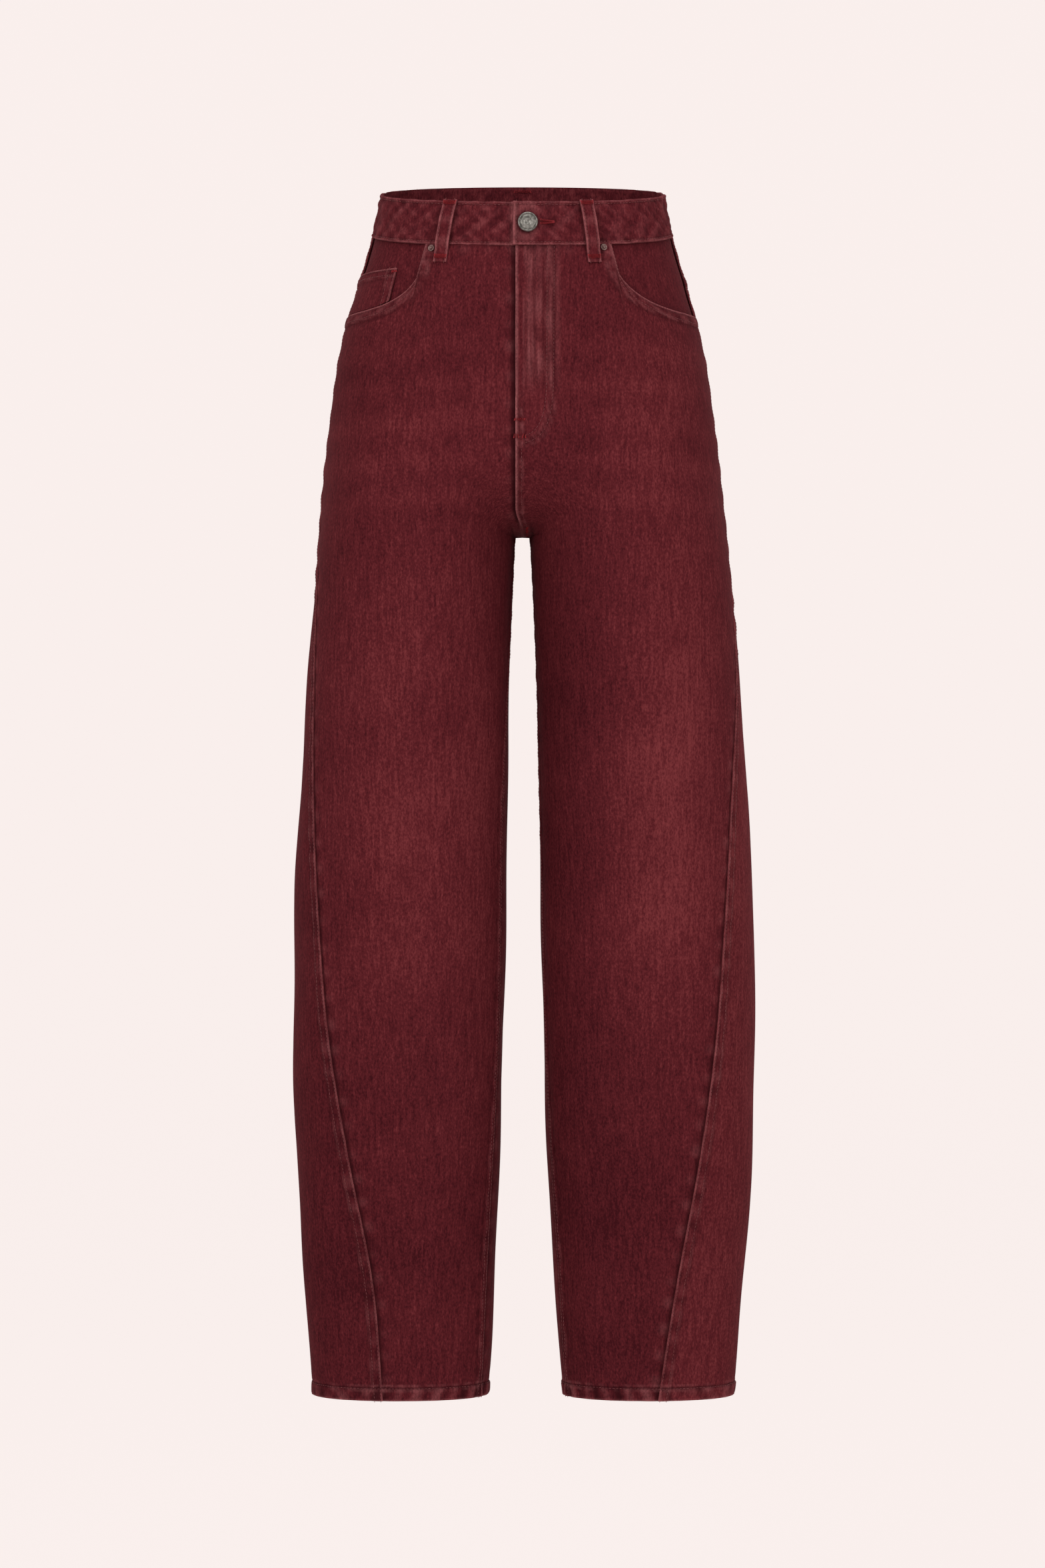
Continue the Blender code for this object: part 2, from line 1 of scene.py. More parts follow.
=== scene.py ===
# %% [markdown]
# # Burgundy barrel-leg jeans
# Jeans are flat pieces of denim sewn into two tubes that meet at the seat. Here each piece is a thin shell
# on one hollow form, so that seams, stitches and wear can be placed by their distance along the cloth.
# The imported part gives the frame: every piece below keeps the place and size that it has there.

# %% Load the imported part
import math

import bpy
import mathutils
import numpy as np
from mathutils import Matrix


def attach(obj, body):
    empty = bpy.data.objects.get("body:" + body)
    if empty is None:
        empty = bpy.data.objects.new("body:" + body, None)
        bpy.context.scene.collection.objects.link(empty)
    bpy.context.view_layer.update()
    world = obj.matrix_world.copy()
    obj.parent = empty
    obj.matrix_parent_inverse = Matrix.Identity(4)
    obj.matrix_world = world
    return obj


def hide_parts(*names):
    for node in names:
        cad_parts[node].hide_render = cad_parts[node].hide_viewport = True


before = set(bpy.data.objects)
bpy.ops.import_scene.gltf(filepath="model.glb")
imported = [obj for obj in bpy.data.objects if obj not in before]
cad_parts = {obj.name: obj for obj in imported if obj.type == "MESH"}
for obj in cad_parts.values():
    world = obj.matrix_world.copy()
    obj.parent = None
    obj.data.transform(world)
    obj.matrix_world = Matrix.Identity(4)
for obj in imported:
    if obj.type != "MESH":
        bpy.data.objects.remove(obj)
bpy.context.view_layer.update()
print("nodes in the packed part:", len(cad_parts))

# %% [markdown]
# ## Camera
# The photograph is taken level, from a little over four metres, with the lens at the height of the middle of
# the garment. A long lens keeps the legs from spreading, so the same distance and field of view are used.

# %% Place the camera
CAMERA_DISTANCE = 4.2
CAMERA_HEIGHT = -0.5098
FRAME_HEIGHT = 1.3548
SENSOR_MM = 36.0


def linked(name, data):
    """A new object that holds the data, put into the scene."""
    made = bpy.data.objects.new(name, data)
    bpy.context.collection.objects.link(made)
    return made


lens_data = bpy.data.cameras.new("studio_camera")
lens_data.sensor_fit = "VERTICAL"
lens_data.sensor_height = SENSOR_MM
lens_data.lens = SENSOR_MM * CAMERA_DISTANCE / FRAME_HEIGHT
lens_data.clip_end = 60.0
studio_camera = linked("studio_camera", lens_data)
studio_camera.location = (0.0, -CAMERA_DISTANCE, CAMERA_HEIGHT)
studio_camera.rotation_euler = (math.pi / 2, 0.0, 0.0)
bpy.context.scene.camera = studio_camera
print("lens in millimetres:", round(lens_data.lens, 1))

# %% [markdown]
# ## The form under the cloth
# A worn pair of jeans is round at the waist, full at the seat and bowed at the knee. Sections at many heights
# give its width and depth, and smooth curves join them. One number, q, runs round each side from the middle
# of the front, over the side at 2, to the middle of the back at 4, so a seam is simply a line of q against
# height.

# %% Sizes of the form, repeated from the part
MM = 0.001
CROTCH = -0.2966
HEM = -1.036
RIM_TILT = 0.187
WAISTBAND_HEIGHT = 0.036
DENIM = 0.0013
BAND_OVERHANG = 0.0006
LAYER_GAP = 0.0007
POCKET_GAP = 0.0014
FACING_GAP = 0.0011
WAISTBAND_FACE = 0.0006
WAISTBAND_THICKNESS = 0.0024
ROUNDNESS = 2.15
RISE_ROUNDNESS = 2.3
FRONT_RISE_CURVE = 0.095
BACK_RISE_CURVE = 0.150
WEB_SHARPNESS = 5.0
WEB_Q = 0.05
LEG_BLEND = 0.06
TORSO_END = -0.13

# Sections of the form in millimetres: height, outer and inner edge of each leg, front and back. The last
# number is the share of the half width at which the cloth turns over the thigh.
SECTION_COLUMNS = ("z", "out_right", "out_left", "in_right", "in_left", "front", "back", "spread")
SECTIONS = (
    (30, 116.0, 116.0, 6.3, 6.3, -90, 88, 0.00),
    (0, 121.5, 121.5, 6.3, 6.3, -94, 92, 0.02),
    (-35, 128.7, 128.7, 6.3, 6.3, -99, 99, 0.06),
    (-83, 142.8, 142.3, 6.3, 6.3, -104, 109, 0.14),
    (-112, 152.1, 150.6, 6.3, 6.3, -106, 115, 0.20),
    (-140, 158.4, 157.2, 6.3, 6.3, -107, 120, 0.26),
    (-184, 164.7, 163.9, 6.3, 6.3, -107, 125, 0.35),
    (-227, 169.9, 169.2, 6.3, 6.3, -106, 125, 0.43),
    (-284, 174.5, 175.1, 6.3, 6.3, -105, 120, 0.51),
    (-328, 178.0, 179.1, 8.1, 8.6, -104, 113, 0.52),
    (-414, 185.5, 187.2, 10.9, 12.1, -101, 104, 0.52),
    (-500, 191.2, 193.0, 12.1, 13.8, -97, 98, 0.52),
    (-587, 195.8, 197.6, 13.8, 15.6, -92, 93, 0.52),
    (-673, 197.8, 200.4, 15.0, 17.3, -86, 88, 0.52),
    (-731, 198.1, 201.4, 16.1, 18.4, -82, 85, 0.52),
    (-788, 197.0, 200.2, 17.9, 20.2, -77, 81, 0.52),
    (-846, 194.4, 197.4, 20.0, 22.5, -72, 77, 0.52),
    (-904, 190.9, 193.5, 22.3, 25.0, -66, 72, 0.52),
    (-961, 187.0, 188.9, 25.2, 28.4, -61, 67, 0.52),
    (-1019, 182.5, 183.4, 29.0, 32.9, -57, 63, 0.52),
    (-1036, 181.0, 181.5, 30.4, 34.5, -56, 62, 0.52),
)
# How far the side seam and the inseam swing to the front, in ninetieths of a quarter turn.
SEAM_COLUMNS = ("z", "side_right", "side_left", "inseam_right", "inseam_left")
SEAMS = (
    (30, 0, 0, 0, 0),
    (-220, 0, 0, 0, 0),
    (-297, 6, 2, 0, 0),
    (-350, 17, 8, 4, 1),
    (-414, 25, 18, 9, 3),
    (-500, 32, 33, 17, 5),
    (-610, 42, 45, 18, 8),
    (-706, 50, 53, 18, 9),
    (-827, 64, 64, 22, 15),
    (-939, 77, 76, 25, 20),
    (-1036, 81, 85, 23, 18),
)
SEAM_UNITS = 90.0
SIGN = {"right": -1.0, "left": 1.0}
OTHER = {"right": "left", "left": "right"}

# %% Curves through the tables
def table_curve(names, rows, name):
    table = np.array(rows, dtype=float)[::-1]
    return table[:, 0] * MM, table[:, names.index(name)]


def smooth(curve, z):
    heights, values = curve
    slopes = np.gradient(values, heights)
    z = np.clip(z, heights[0], heights[-1])
    i = np.clip(np.searchsorted(heights, z) - 1, 0, len(heights) - 2)
    step = heights[i + 1] - heights[i]
    t = (z - heights[i]) / step
    low = (1 + 2 * t) * (1 - t) ** 2 * values[i] + t * (1 - t) ** 2 * step * slopes[i]
    high = t * t * (3 - 2 * t) * values[i + 1] + t * t * (t - 1) * step * slopes[i + 1]
    return low + high


def ease(t):
    t = np.clip(t, 0.0, 1.0)
    return t * t * (3 - 2 * t)


SECTION = {name: table_curve(SECTION_COLUMNS, SECTIONS, name) for name in SECTION_COLUMNS}
SEAM = {name: table_curve(SEAM_COLUMNS, SEAMS, name) for name in SEAM_COLUMNS}

# %% Points on the form
def rise_share(z, height):
    s = np.clip((z - CROTCH) / height, 0.0, 1.0)
    return (1 - (1 - s) ** RISE_ROUNDNESS) ** (1 / RISE_ROUNDNESS)


def form_point(side, q, z):
    q, z = np.broadcast_arrays(np.asarray(q, float), np.asarray(z, float))
    out = smooth(SECTION["out_" + side], z) * MM
    inner = smooth(SECTION["in_" + side], z) * MM
    front = smooth(SECTION["front"], z) * MM
    back = smooth(SECTION["back"], z) * MM
    spread = smooth(SECTION["spread"], z)
    on_back = q > 2
    below = z < CROTCH
    turn = np.clip(np.where(on_back, 4 - q, q), 0, 2)
    leg_centre = (out + inner) / 2
    leg_share = ease((CROTCH + LEG_BLEND - z) / LEG_BLEND)
    centre = np.maximum((1 - leg_share) * spread * out + leg_share * leg_centre, 0.001)
    centre = np.where(below, leg_centre, centre)
    power = 2 / ROUNDNESS
    inner_turn = np.clip((turn - WEB_Q) / (1 - WEB_Q), 0, 1) * math.pi / 2
    outer_turn = np.clip(turn - 1, 0, 1) * math.pi / 2
    web_x = inner * np.clip(turn / WEB_Q, 0, 1)
    inner_x = (leg_centre - inner) * (1 - np.clip(np.cos(inner_turn), 0, 1) ** power)
    outer_x = (out - leg_centre) * np.sin(outer_turn) ** power
    leg_x = np.where(below, inner, web_x) + inner_x + outer_x
    torso_x = out * np.sin(turn * math.pi / 4) ** power
    leg_like = np.where(below, 1.0, ease((TORSO_END - z) / (TORSO_END - CROTCH)))
    x = leg_like * leg_x + (1 - leg_like) * torso_x
    inner_ratio = np.clip((centre - x) / np.maximum(centre - inner, 0.001), 0, 1)
    outer_ratio = np.clip((x - centre) / np.maximum(out - centre, 0.001), 0, 1)
    ratio = np.where(x < centre, inner_ratio, outer_ratio)
    fullness = (1 - ratio ** ROUNDNESS) ** (1 / ROUNDNESS)
    share = np.where(on_back, rise_share(z, BACK_RISE_CURVE), rise_share(z, FRONT_RISE_CURVE))
    filled = (1 - (1 - fullness ** WEB_SHARPNESS) * (1 - share ** WEB_SHARPNESS)) ** (1 / WEB_SHARPNESS)
    fullness = np.where(below | (x >= centre), fullness, filled)
    y = (front + back) / 2 + np.where(on_back, 1.0, -1.0) * (back - front) / 2 * fullness
    return np.stack([SIGN[side] * x, y, z], axis=-1)


def wrapped_point(side, q, z):
    q, z = np.broadcast_arrays(np.asarray(q, float), np.asarray(z, float))
    below = z < CROTCH
    loop = 4 - 2 * WEB_Q
    round_leg = np.where(q < WEB_Q, q + loop, np.where(q > 4 - WEB_Q, q - loop, q))
    point = form_point(side, np.where(below, round_leg, np.clip(q, 0, 4)), z)
    across = ((q < 0) | (q > 4)) & ~below
    if across.any():
        mirrored = np.clip(np.where(q < 0, -q, 8 - q), 0, 4)
        point = np.where(across[..., None], form_point(OTHER[side], mirrored, z), point)
    return point


def form_normal(side, q, z):
    along = wrapped_point(side, q + 0.02, z) - wrapped_point(side, q - 0.02, z)
    down = wrapped_point(side, q, z - 0.0015) - wrapped_point(side, q, z + 0.0015)
    normal = np.cross(along, down) * -SIGN[side]
    return normal / np.linalg.norm(normal, axis=-1, keepdims=True)


# %% Lines on the form
def q_at(side, x, z, face):
    """The q on the front or back face at which the form is x from the middle plane."""
    x, z = np.broadcast_arrays(np.asarray(x, float), np.asarray(z, float))
    near = np.full(x.shape, 0.0 if face == "front" else 4.0)
    far = np.full(x.shape, 2.0)
    for _ in range(30):
        middle = (near + far) / 2
        inside = np.abs(form_point(side, middle, z)[..., 0]) < x
        near = np.where(inside, middle, near)
        far = np.where(inside, far, middle)
    return (near + far) / 2


def rim_height(side, q, below):
    z = np.broadcast_to(-np.asarray(below, float), np.broadcast_shapes(np.shape(q), np.shape(below))).copy()
    for _ in range(6):
        z = RIM_TILT * wrapped_point(side, q, z)[..., 1] - below
    return z


def side_q(side, z):
    return 2 - smooth(SEAM["side_" + side], z) / SEAM_UNITS


FLY_LAP = 0.0060
FLY_RUN_OUT = 0.022


def inseam_q(side, z):
    z = np.asarray(z, float)
    lap = q_at("right", FLY_LAP, np.maximum(z, CROTCH + 0.002), "front")
    lap = lap * ease((z - CROTCH) / FLY_RUN_OUT) * -SIGN[side]
    turn = smooth(SEAM["inseam_" + side], z) / SEAM_UNITS
    return np.where(z < CROTCH, WEB_Q + (1 - WEB_Q) * turn, lap)


waist_depth = (form_point("left", 4.0, 0.0) - form_point("left", 0.0, 0.0))[1]
print("waist front to back in millimetres:", round(waist_depth / MM))

# %% [markdown]
# ## From a grid of points to cloth
# A piece of denim is a rectangular grid bent over the form. Its outer face carries the relief: ridges where
# seam allowances lie underneath, grooves under stitches, and puckers where the thread has shrunk in the wash.
# An inner face and a rim close it, so that it has the real thickness. Three masks go with each point for the
# colour: fade_and_light for the large bleached areas, which also hold painted highlight and painted shade,
# worn for abraded edges, and shade_and_deep_dye for painted shade in grooves, beside seams and under laps and
# loops, together with dye that stayed deep in creases and mottles.

# %% Uneven waves and distances
def uneven(s, step, seed):
    """Smooth waves of irregular length and height along s, from -1 to 1."""
    dice = np.random.default_rng(seed)
    start = float(np.min(s)) - 2 * step
    count = int((float(np.max(s)) - start) / step) + 4
    knots = start + (np.arange(count) + dice.uniform(-0.32, 0.32, count)) * step
    heights = dice.uniform(0.3, 1.0, count) * np.where(np.arange(count) % 2 == 0, 1.0, -1.0)
    return smooth((knots, heights), s)


def blur_field(a, b, step, seed):
    """A soft random field over two coordinates, from -1 to 1."""
    dice = np.random.default_rng(seed)
    total = np.zeros(np.broadcast_shapes(np.shape(a), np.shape(b)))
    for _ in range(7):
        angle = dice.uniform(0, 2 * math.pi)
        pitch = 2 * math.pi / (step * dice.uniform(0.7, 1.6))
        total = total + np.sin((a * math.cos(angle) + b * math.sin(angle)) * pitch + dice.uniform(0, 6.3))
    return np.clip(total / 4, -1, 1)


def nearest(points, line):
    """Distance of each point from a line of points, and how far along the line it lies."""
    line = np.asarray(line)
    steps = np.linalg.norm(np.diff(line, axis=0), axis=1)
    along = np.concatenate([[0.0], np.cumsum(steps)])
    flat = points.reshape(-1, 3)
    best = np.full(len(flat), 9.0)
    place = np.zeros(len(flat))
    square = (line ** 2).sum(1)
    found = np.concatenate([
        np.argmin(square[None, :] - 2 * part @ line.T, axis=1) for part in np.array_split(flat, 24)
    ])
    for shift in (-1, 0):
        i = np.clip(found + shift, 0, len(line) - 2)
        step = line[i + 1] - line[i]
        t = np.clip(((flat - line[i]) * step).sum(1) / np.maximum((step ** 2).sum(1), 1e-12), 0, 1)
        gap = np.linalg.norm(flat - line[i] - step * t[:, None], axis=1)
        nearer = gap < best
        best = np.where(nearer, gap, best)
        place = np.where(nearer, along[i] + t * steps[i], place)
    return best.reshape(points.shape[:-1]), place.reshape(points.shape[:-1])


def band(d, start, end, soft):
    """1 between two distances, falling softly to 0 on either side."""
    return ease((d - start) / soft + 0.5) * ease((end - d) / soft + 0.5)


def bump(d, centre, width):
    return np.exp(-((d - centre) / width) ** 2)


def row_lengths(grid):
    """How far each point lies along its row from the row's first point."""
    steps = np.linalg.norm(np.diff(grid, axis=1), axis=2)
    return np.concatenate([np.zeros((len(grid), 1)), np.cumsum(steps, axis=1)], axis=1)


# %% Build one closed shell
INNER_RELIEF = 0.25
INNER_WEAR = 0.3
PANEL = {}


def cloth_shell(name, node, points, normals, relief, thickness, masks, flip, grain=None):
    """A closed shell of cloth that stands for a node, with its cloth map in metres and its masks."""
    PANEL[name] = {"points": points, "normals": normals, "relief": relief}
    rows, columns = points.shape[:2]
    count = rows * columns
    outer = (points + normals * relief[..., None]).reshape(-1, 3)
    inner = (points + normals * (relief * INNER_RELIEF - thickness)[..., None]).reshape(-1, 3)
    a = (np.arange(rows - 1)[:, None] * columns + np.arange(columns - 1)[None, :]).ravel()
    b = a + columns
    outside = np.stack([a, b, b + 1, a + 1], axis=1)
    inside = np.stack([a, a + 1, b + 1, b], axis=1) + count
    rim = np.concatenate([
        np.arange(columns),
        np.arange(1, rows) * columns + columns - 1,
        (rows - 1) * columns + np.arange(columns - 2, -1, -1),
        np.arange(rows - 2, 0, -1) * columns,
    ])
    after = np.roll(rim, -1)
    edge = np.stack([rim, after, after + count, rim + count], axis=1)
    faces = np.concatenate([outside, inside, edge])
    if flip:
        faces = faces[:, ::-1]
    mesh = bpy.data.meshes.new(name)
    mesh.vertices.add(2 * count)
    mesh.vertices.foreach_set("co", np.concatenate([outer, inner]).ravel())
    mesh.loops.add(faces.size)
    mesh.loops.foreach_set("vertex_index", faces.ravel().astype(np.int32))
    mesh.polygons.add(len(faces))
    mesh.polygons.foreach_set("loop_start", (np.arange(len(faces)) * 4).astype(np.int32))
    mesh.update(calc_edges=True)
    mesh.validate()
    mesh.shade_smooth()
    across = row_lengths(points)
    if grain is not None:
        line_q, at_q = grain
        across -= np.array([np.interp(at_q, line_q[i], across[i]) for i in range(rows)])[:, None]
    uv = np.stack([across, points[..., 2]], axis=-1).reshape(-1, 2)
    uv = np.concatenate([uv, uv])
    layer = mesh.uv_layers.new(name="cloth")
    order = np.zeros(len(mesh.loops), dtype=np.int32)
    mesh.loops.foreach_get("vertex_index", order)
    layer.data.foreach_set("uv", uv[order].ravel())
    for key in ("fade_and_light", "worn", "shade_and_deep_dye"):
        value = np.broadcast_to(masks.get(key, 0.0), points.shape[:2]).ravel()
        back_value = value if key == "fade_and_light" else value * INNER_WEAR
        mask = mesh.attributes.new(key, "FLOAT", "POINT")
        mask.data.foreach_set("value", np.concatenate([value, back_value]))
    made = linked(name, mesh)
    made["stands_for"] = node
    print(name, "faces:", len(faces))
    return made


# %% Rows and columns along the cloth
FINE_EDGE = np.array([0.0, 0.4, 0.9, 1.5, 2.3, 3.2, 4.2, 5.2, 6.3, 7.5, 8.8, 10.2, 12.0]) * MM
BESIDE_FLY = np.array([13.6, 15.2, 16.8, 18.4, 20.0, 22.0, 24.0, 26.0, 28.0, 30.5, 33.0, 36.0]) * MM
FINE_FLY = np.concatenate([FINE_EDGE, BESIDE_FLY])
FLY_COLUMNS = 13
SCOOP_COLUMNS = 17
BACK_COLUMNS = 38
SCOOP_CORNER = len(FINE_FLY) + FLY_COLUMNS
EDGE_LET_OUT = 0.00008


def along_rows(side, q_fine, z_fine, first, last, middle):
    """Points on each row at fixed distances from its two ends, and evenly spaced between them."""
    length = row_lengths(wrapped_point(side, q_fine, z_fine))
    q_rows = []
    z_rows = []
    for i in range(len(length)):
        total = length[i, -1]
        squeeze = min(1.0, 0.8 * total / (first[-1] + last[-1] + 1e-9))
        start = first * squeeze
        end = total - last[::-1] * squeeze
        where = np.concatenate([start, np.linspace(start[-1], end[0], middle + 2)[1:-1], end])
        q_rows.append(np.interp(where, length[i], q_fine[i]))
        z_rows.append(np.interp(where, length[i], z_fine[i]))
    return np.array(q_rows), np.array(z_rows)


def laid(side, q, z):
    """Points and normals of a grid on the form, with its edges let out by a hair to close the seams."""
    points = wrapped_point(side, q, z)
    for edge, inner in ((0, 1), (-1, -2)):
        for grid in (points, points.transpose(1, 0, 2)):
            step = grid[inner] - grid[edge]
            size = np.linalg.norm(step, axis=-1, keepdims=True)
            grid[edge] -= step * (EDGE_LET_OUT / np.maximum(size, 1e-9))
    return points, form_normal(side, q, z)


# %% [markdown]
# ## Leg panels
# The two fronts are cut from the waistband to the hem, with a scoop taken out of each top corner for the
# hand. The two backs start under the yoke. The side seam lies at the hip and then swings forwards down the
# leg: that is what gives the barrel shape. Rows follow the top edge first and settle into level rows lower
# down, and the columns are packed close beside the seams, where all the relief is.

# %% Sizes of the pocket openings and the yoke
SCOOPS = {"right": (0.0819, -0.0515, -0.1075), "left": (0.0745, -0.0500, -0.1075)}
SCOOP_ROUNDNESS = 2.3
FACING_UNDERLAP = 0.012
FLY_TOP_Z = -0.054
YOKE_SIDE_Z = -0.081
YOKE_DROP = 0.022
ROW_STEP = 0.0022
SETTLED_Z = -0.249
FIRST_ROW = SCOOPS["left"][2]


def scoop_height(side, q):
    top_x, top_z, side_z = SCOOPS[side]
    end_x = np.abs(form_point(side, 2.0, side_z)[0])
    low = np.full(np.shape(q), side_z)
    high = np.full(np.shape(q), top_z)
    for _ in range(30):
        middle = (low + high) / 2
        x = np.abs(form_point(side, q, middle)[..., 0])
        along = np.clip((end_x - x) / (end_x - top_x), 0, 1)
        curve = top_z + (side_z - top_z) * (1 - along ** SCOOP_ROUNDNESS) ** (1 / SCOOP_ROUNDNESS)
        low = np.where(middle > curve, low, middle)
        high = np.where(middle > curve, middle, high)
    return (low + high) / 2


FINE_TOP = np.array([0, 0.5, 1.2, 2.1, 3.2, 4.4, 5.6, 6.8, 8.0, 9.4, 11.0]) * MM
FINE_HEM = np.array([0, 0.4, 1.0, 1.9, 3.0, 4.2, 5.5, 6.9, 8.3, 9.6, 10.6, 11.4, 12.2, 13.2, 14.6]) * MM


def row_heights(top):
    """Heights of the rows: close together at the top and the hem, even in between."""
    upper = np.arange(top - 0.013, CROTCH + 0.003, -ROW_STEP)
    lower = np.arange(CROTCH - 0.002, HEM + 0.016, -ROW_STEP)
    fork = [CROTCH + 0.001, CROTCH, CROTCH - 0.0005]
    return np.concatenate([top - FINE_TOP, upper, fork, lower, (HEM + FINE_HEM)[::-1]])


# %% Grid of a front panel
SHARES = np.linspace(0, 1, 161)


def front_grid(side):
    rows = row_heights(FIRST_ROW)
    corner_q = float(q_at(side, SCOOPS[side][0], SCOOPS[side][1], "front"))
    start_q = float(inseam_q(side, FLY_TOP_Z))
    flat_q = start_q + (corner_q - start_q) * SHARES
    scoop_q = corner_q + (2.0 - corner_q) * SHARES
    split = (corner_q - start_q) / (2.0 - start_q)
    halves = (
        (split * SHARES, flat_q, rim_height(side, flat_q, WAISTBAND_HEIGHT)),
        (split + (1 - split) * SHARES, scoop_q, scoop_height(side, scoop_q)),
    )
    settled = ease((FIRST_ROW - rows) / (FIRST_ROW - SETTLED_Z))[:, None]
    start = inseam_q(side, rows)[:, None]
    end = side_q(side, rows)[:, None]
    q_halves = []
    z_halves = []
    corner = np.array([0.0])
    plan = ((FINE_FLY, corner, FLY_COLUMNS), (corner, FINE_EDGE, SCOOP_COLUMNS))
    for (share, top_q, top_z), (first, last, middle) in zip(halves, plan):
        q = (start + (end - start) * share) * settled + top_q * (1 - settled)
        z = rows[:, None] + (top_z - FIRST_ROW) * (1 - settled)
        q, z = along_rows(side, q, z, first, last, middle)
        q_halves.append(q)
        z_halves.append(z)
    q = np.concatenate([q_halves[0], q_halves[1][:, 1:]], axis=1)
    z = np.concatenate([z_halves[0], z_halves[1][:, 1:]], axis=1)
    q[:, 0] = inseam_q(side, z[:, 0])
    q[:, -1] = side_q(side, z[:, -1])
    return q, z



def back_grid(side):
    rows = row_heights(YOKE_SIDE_Z)
    start = side_q(side, rows)[:, None]
    end = np.where(rows < CROTCH, 4 - 2 * WEB_Q + inseam_q(side, rows), 4.0)[:, None]
    fall = YOKE_DROP * SHARES * (1 - ease((YOKE_SIDE_Z - rows) / (YOKE_SIDE_Z - SETTLED_Z)))[:, None]
    q = start + (end - start) * SHARES
    z = rows[:, None] - fall
    return along_rows(side, q, z, FINE_EDGE, FINE_EDGE, BACK_COLUMNS)


# %% [markdown]
# ## Fading
# The dye is worn lightest where the thighs and knees stand forwards, and stays deep at the crotch, down the
# inner legs and on the outer panels near the hem. These light and deep places also hold painted light: a
# painted highlight on the knees and thighs, and painted shade at the crotch, on the inner legs and on the
# outer panels near the hem. Each light place is a soft oval on the front or the back.

# %% Where the dye has faded, with painted highlight and painted shade, in metres: x, z, half width, half height, strength
BASE_FADE = 0.36
FRONT_FADES_AND_LIGHT = (
    (0.132, -0.45, 0.045, 0.190, 0.26),
    (0.115, -0.60, 0.055, 0.120, 0.20),
    (-0.100, -0.56, 0.052, 0.150, 0.26),
    (-0.110, -0.36, 0.050, 0.120, 0.10),
    (-0.090, -0.20, 0.060, 0.070, 0.10),
    (0.105, -0.20, 0.060, 0.080, 0.16),
    (0.016, -0.13, 0.014, 0.070, 0.10),
    (0.000, -0.27, 0.034, 0.060, 0.12),
    (-0.034, -0.55, 0.026, 0.260, 0.26),
    (0.045, -0.55, 0.030, 0.260, -0.10),
    (-0.040, -0.60, 0.030, 0.300, -0.10),
    (-0.165, -0.90, 0.035, 0.160, -0.10),
    (0.080, -0.88, 0.060, 0.130, -0.15),
    (-0.080, -0.90, 0.060, 0.130, -0.06),
)
BACK_FADES_AND_LIGHT = (
    (0.085, -0.19, 0.060, 0.080, 0.34),
    (-0.085, -0.19, 0.060, 0.080, 0.34),
    (0.105, -0.70, 0.050, 0.160, 0.20),
    (-0.105, -0.70, 0.050, 0.160, 0.20),
    (0.100, -0.42, 0.050, 0.110, 0.10),
    (-0.100, -0.42, 0.050, 0.110, 0.10),
    (0.000, -0.27, 0.030, 0.060, -0.18),
    (0.170, -0.92, 0.040, 0.140, -0.12),
    (-0.170, -0.92, 0.040, 0.140, -0.12),
)

# The outer panels that swing to the front are paler on the wearer's left leg than on the right.
OUTER_PANEL_FADE = {"right": -0.03, "left": 0.20}


def fade_and_light_at(points, face):
    x = points[..., 0]
    z = points[..., 2]
    total = np.full(x.shape, BASE_FADE)
    for cx, cz, rx, rz, strength in (FRONT_FADES_AND_LIGHT if face == "front" else BACK_FADES_AND_LIGHT):
        total += strength * np.exp(-((x - cx) / rx) ** 2 - ((z - cz) / rz) ** 2)
    whisker = uneven(z + 0.05 * np.abs(x), 0.016, 5) * band(z, -0.28, -0.13, 0.04) * 0.07
    total += whisker * ease((np.abs(x) - 0.02) / 0.04)
    total += 0.05 * blur_field(x + points[..., 1] * 0.7, z, 0.11, 9)
    return total + 0.03 * blur_field(x, z * 0.4, 0.035, 12)
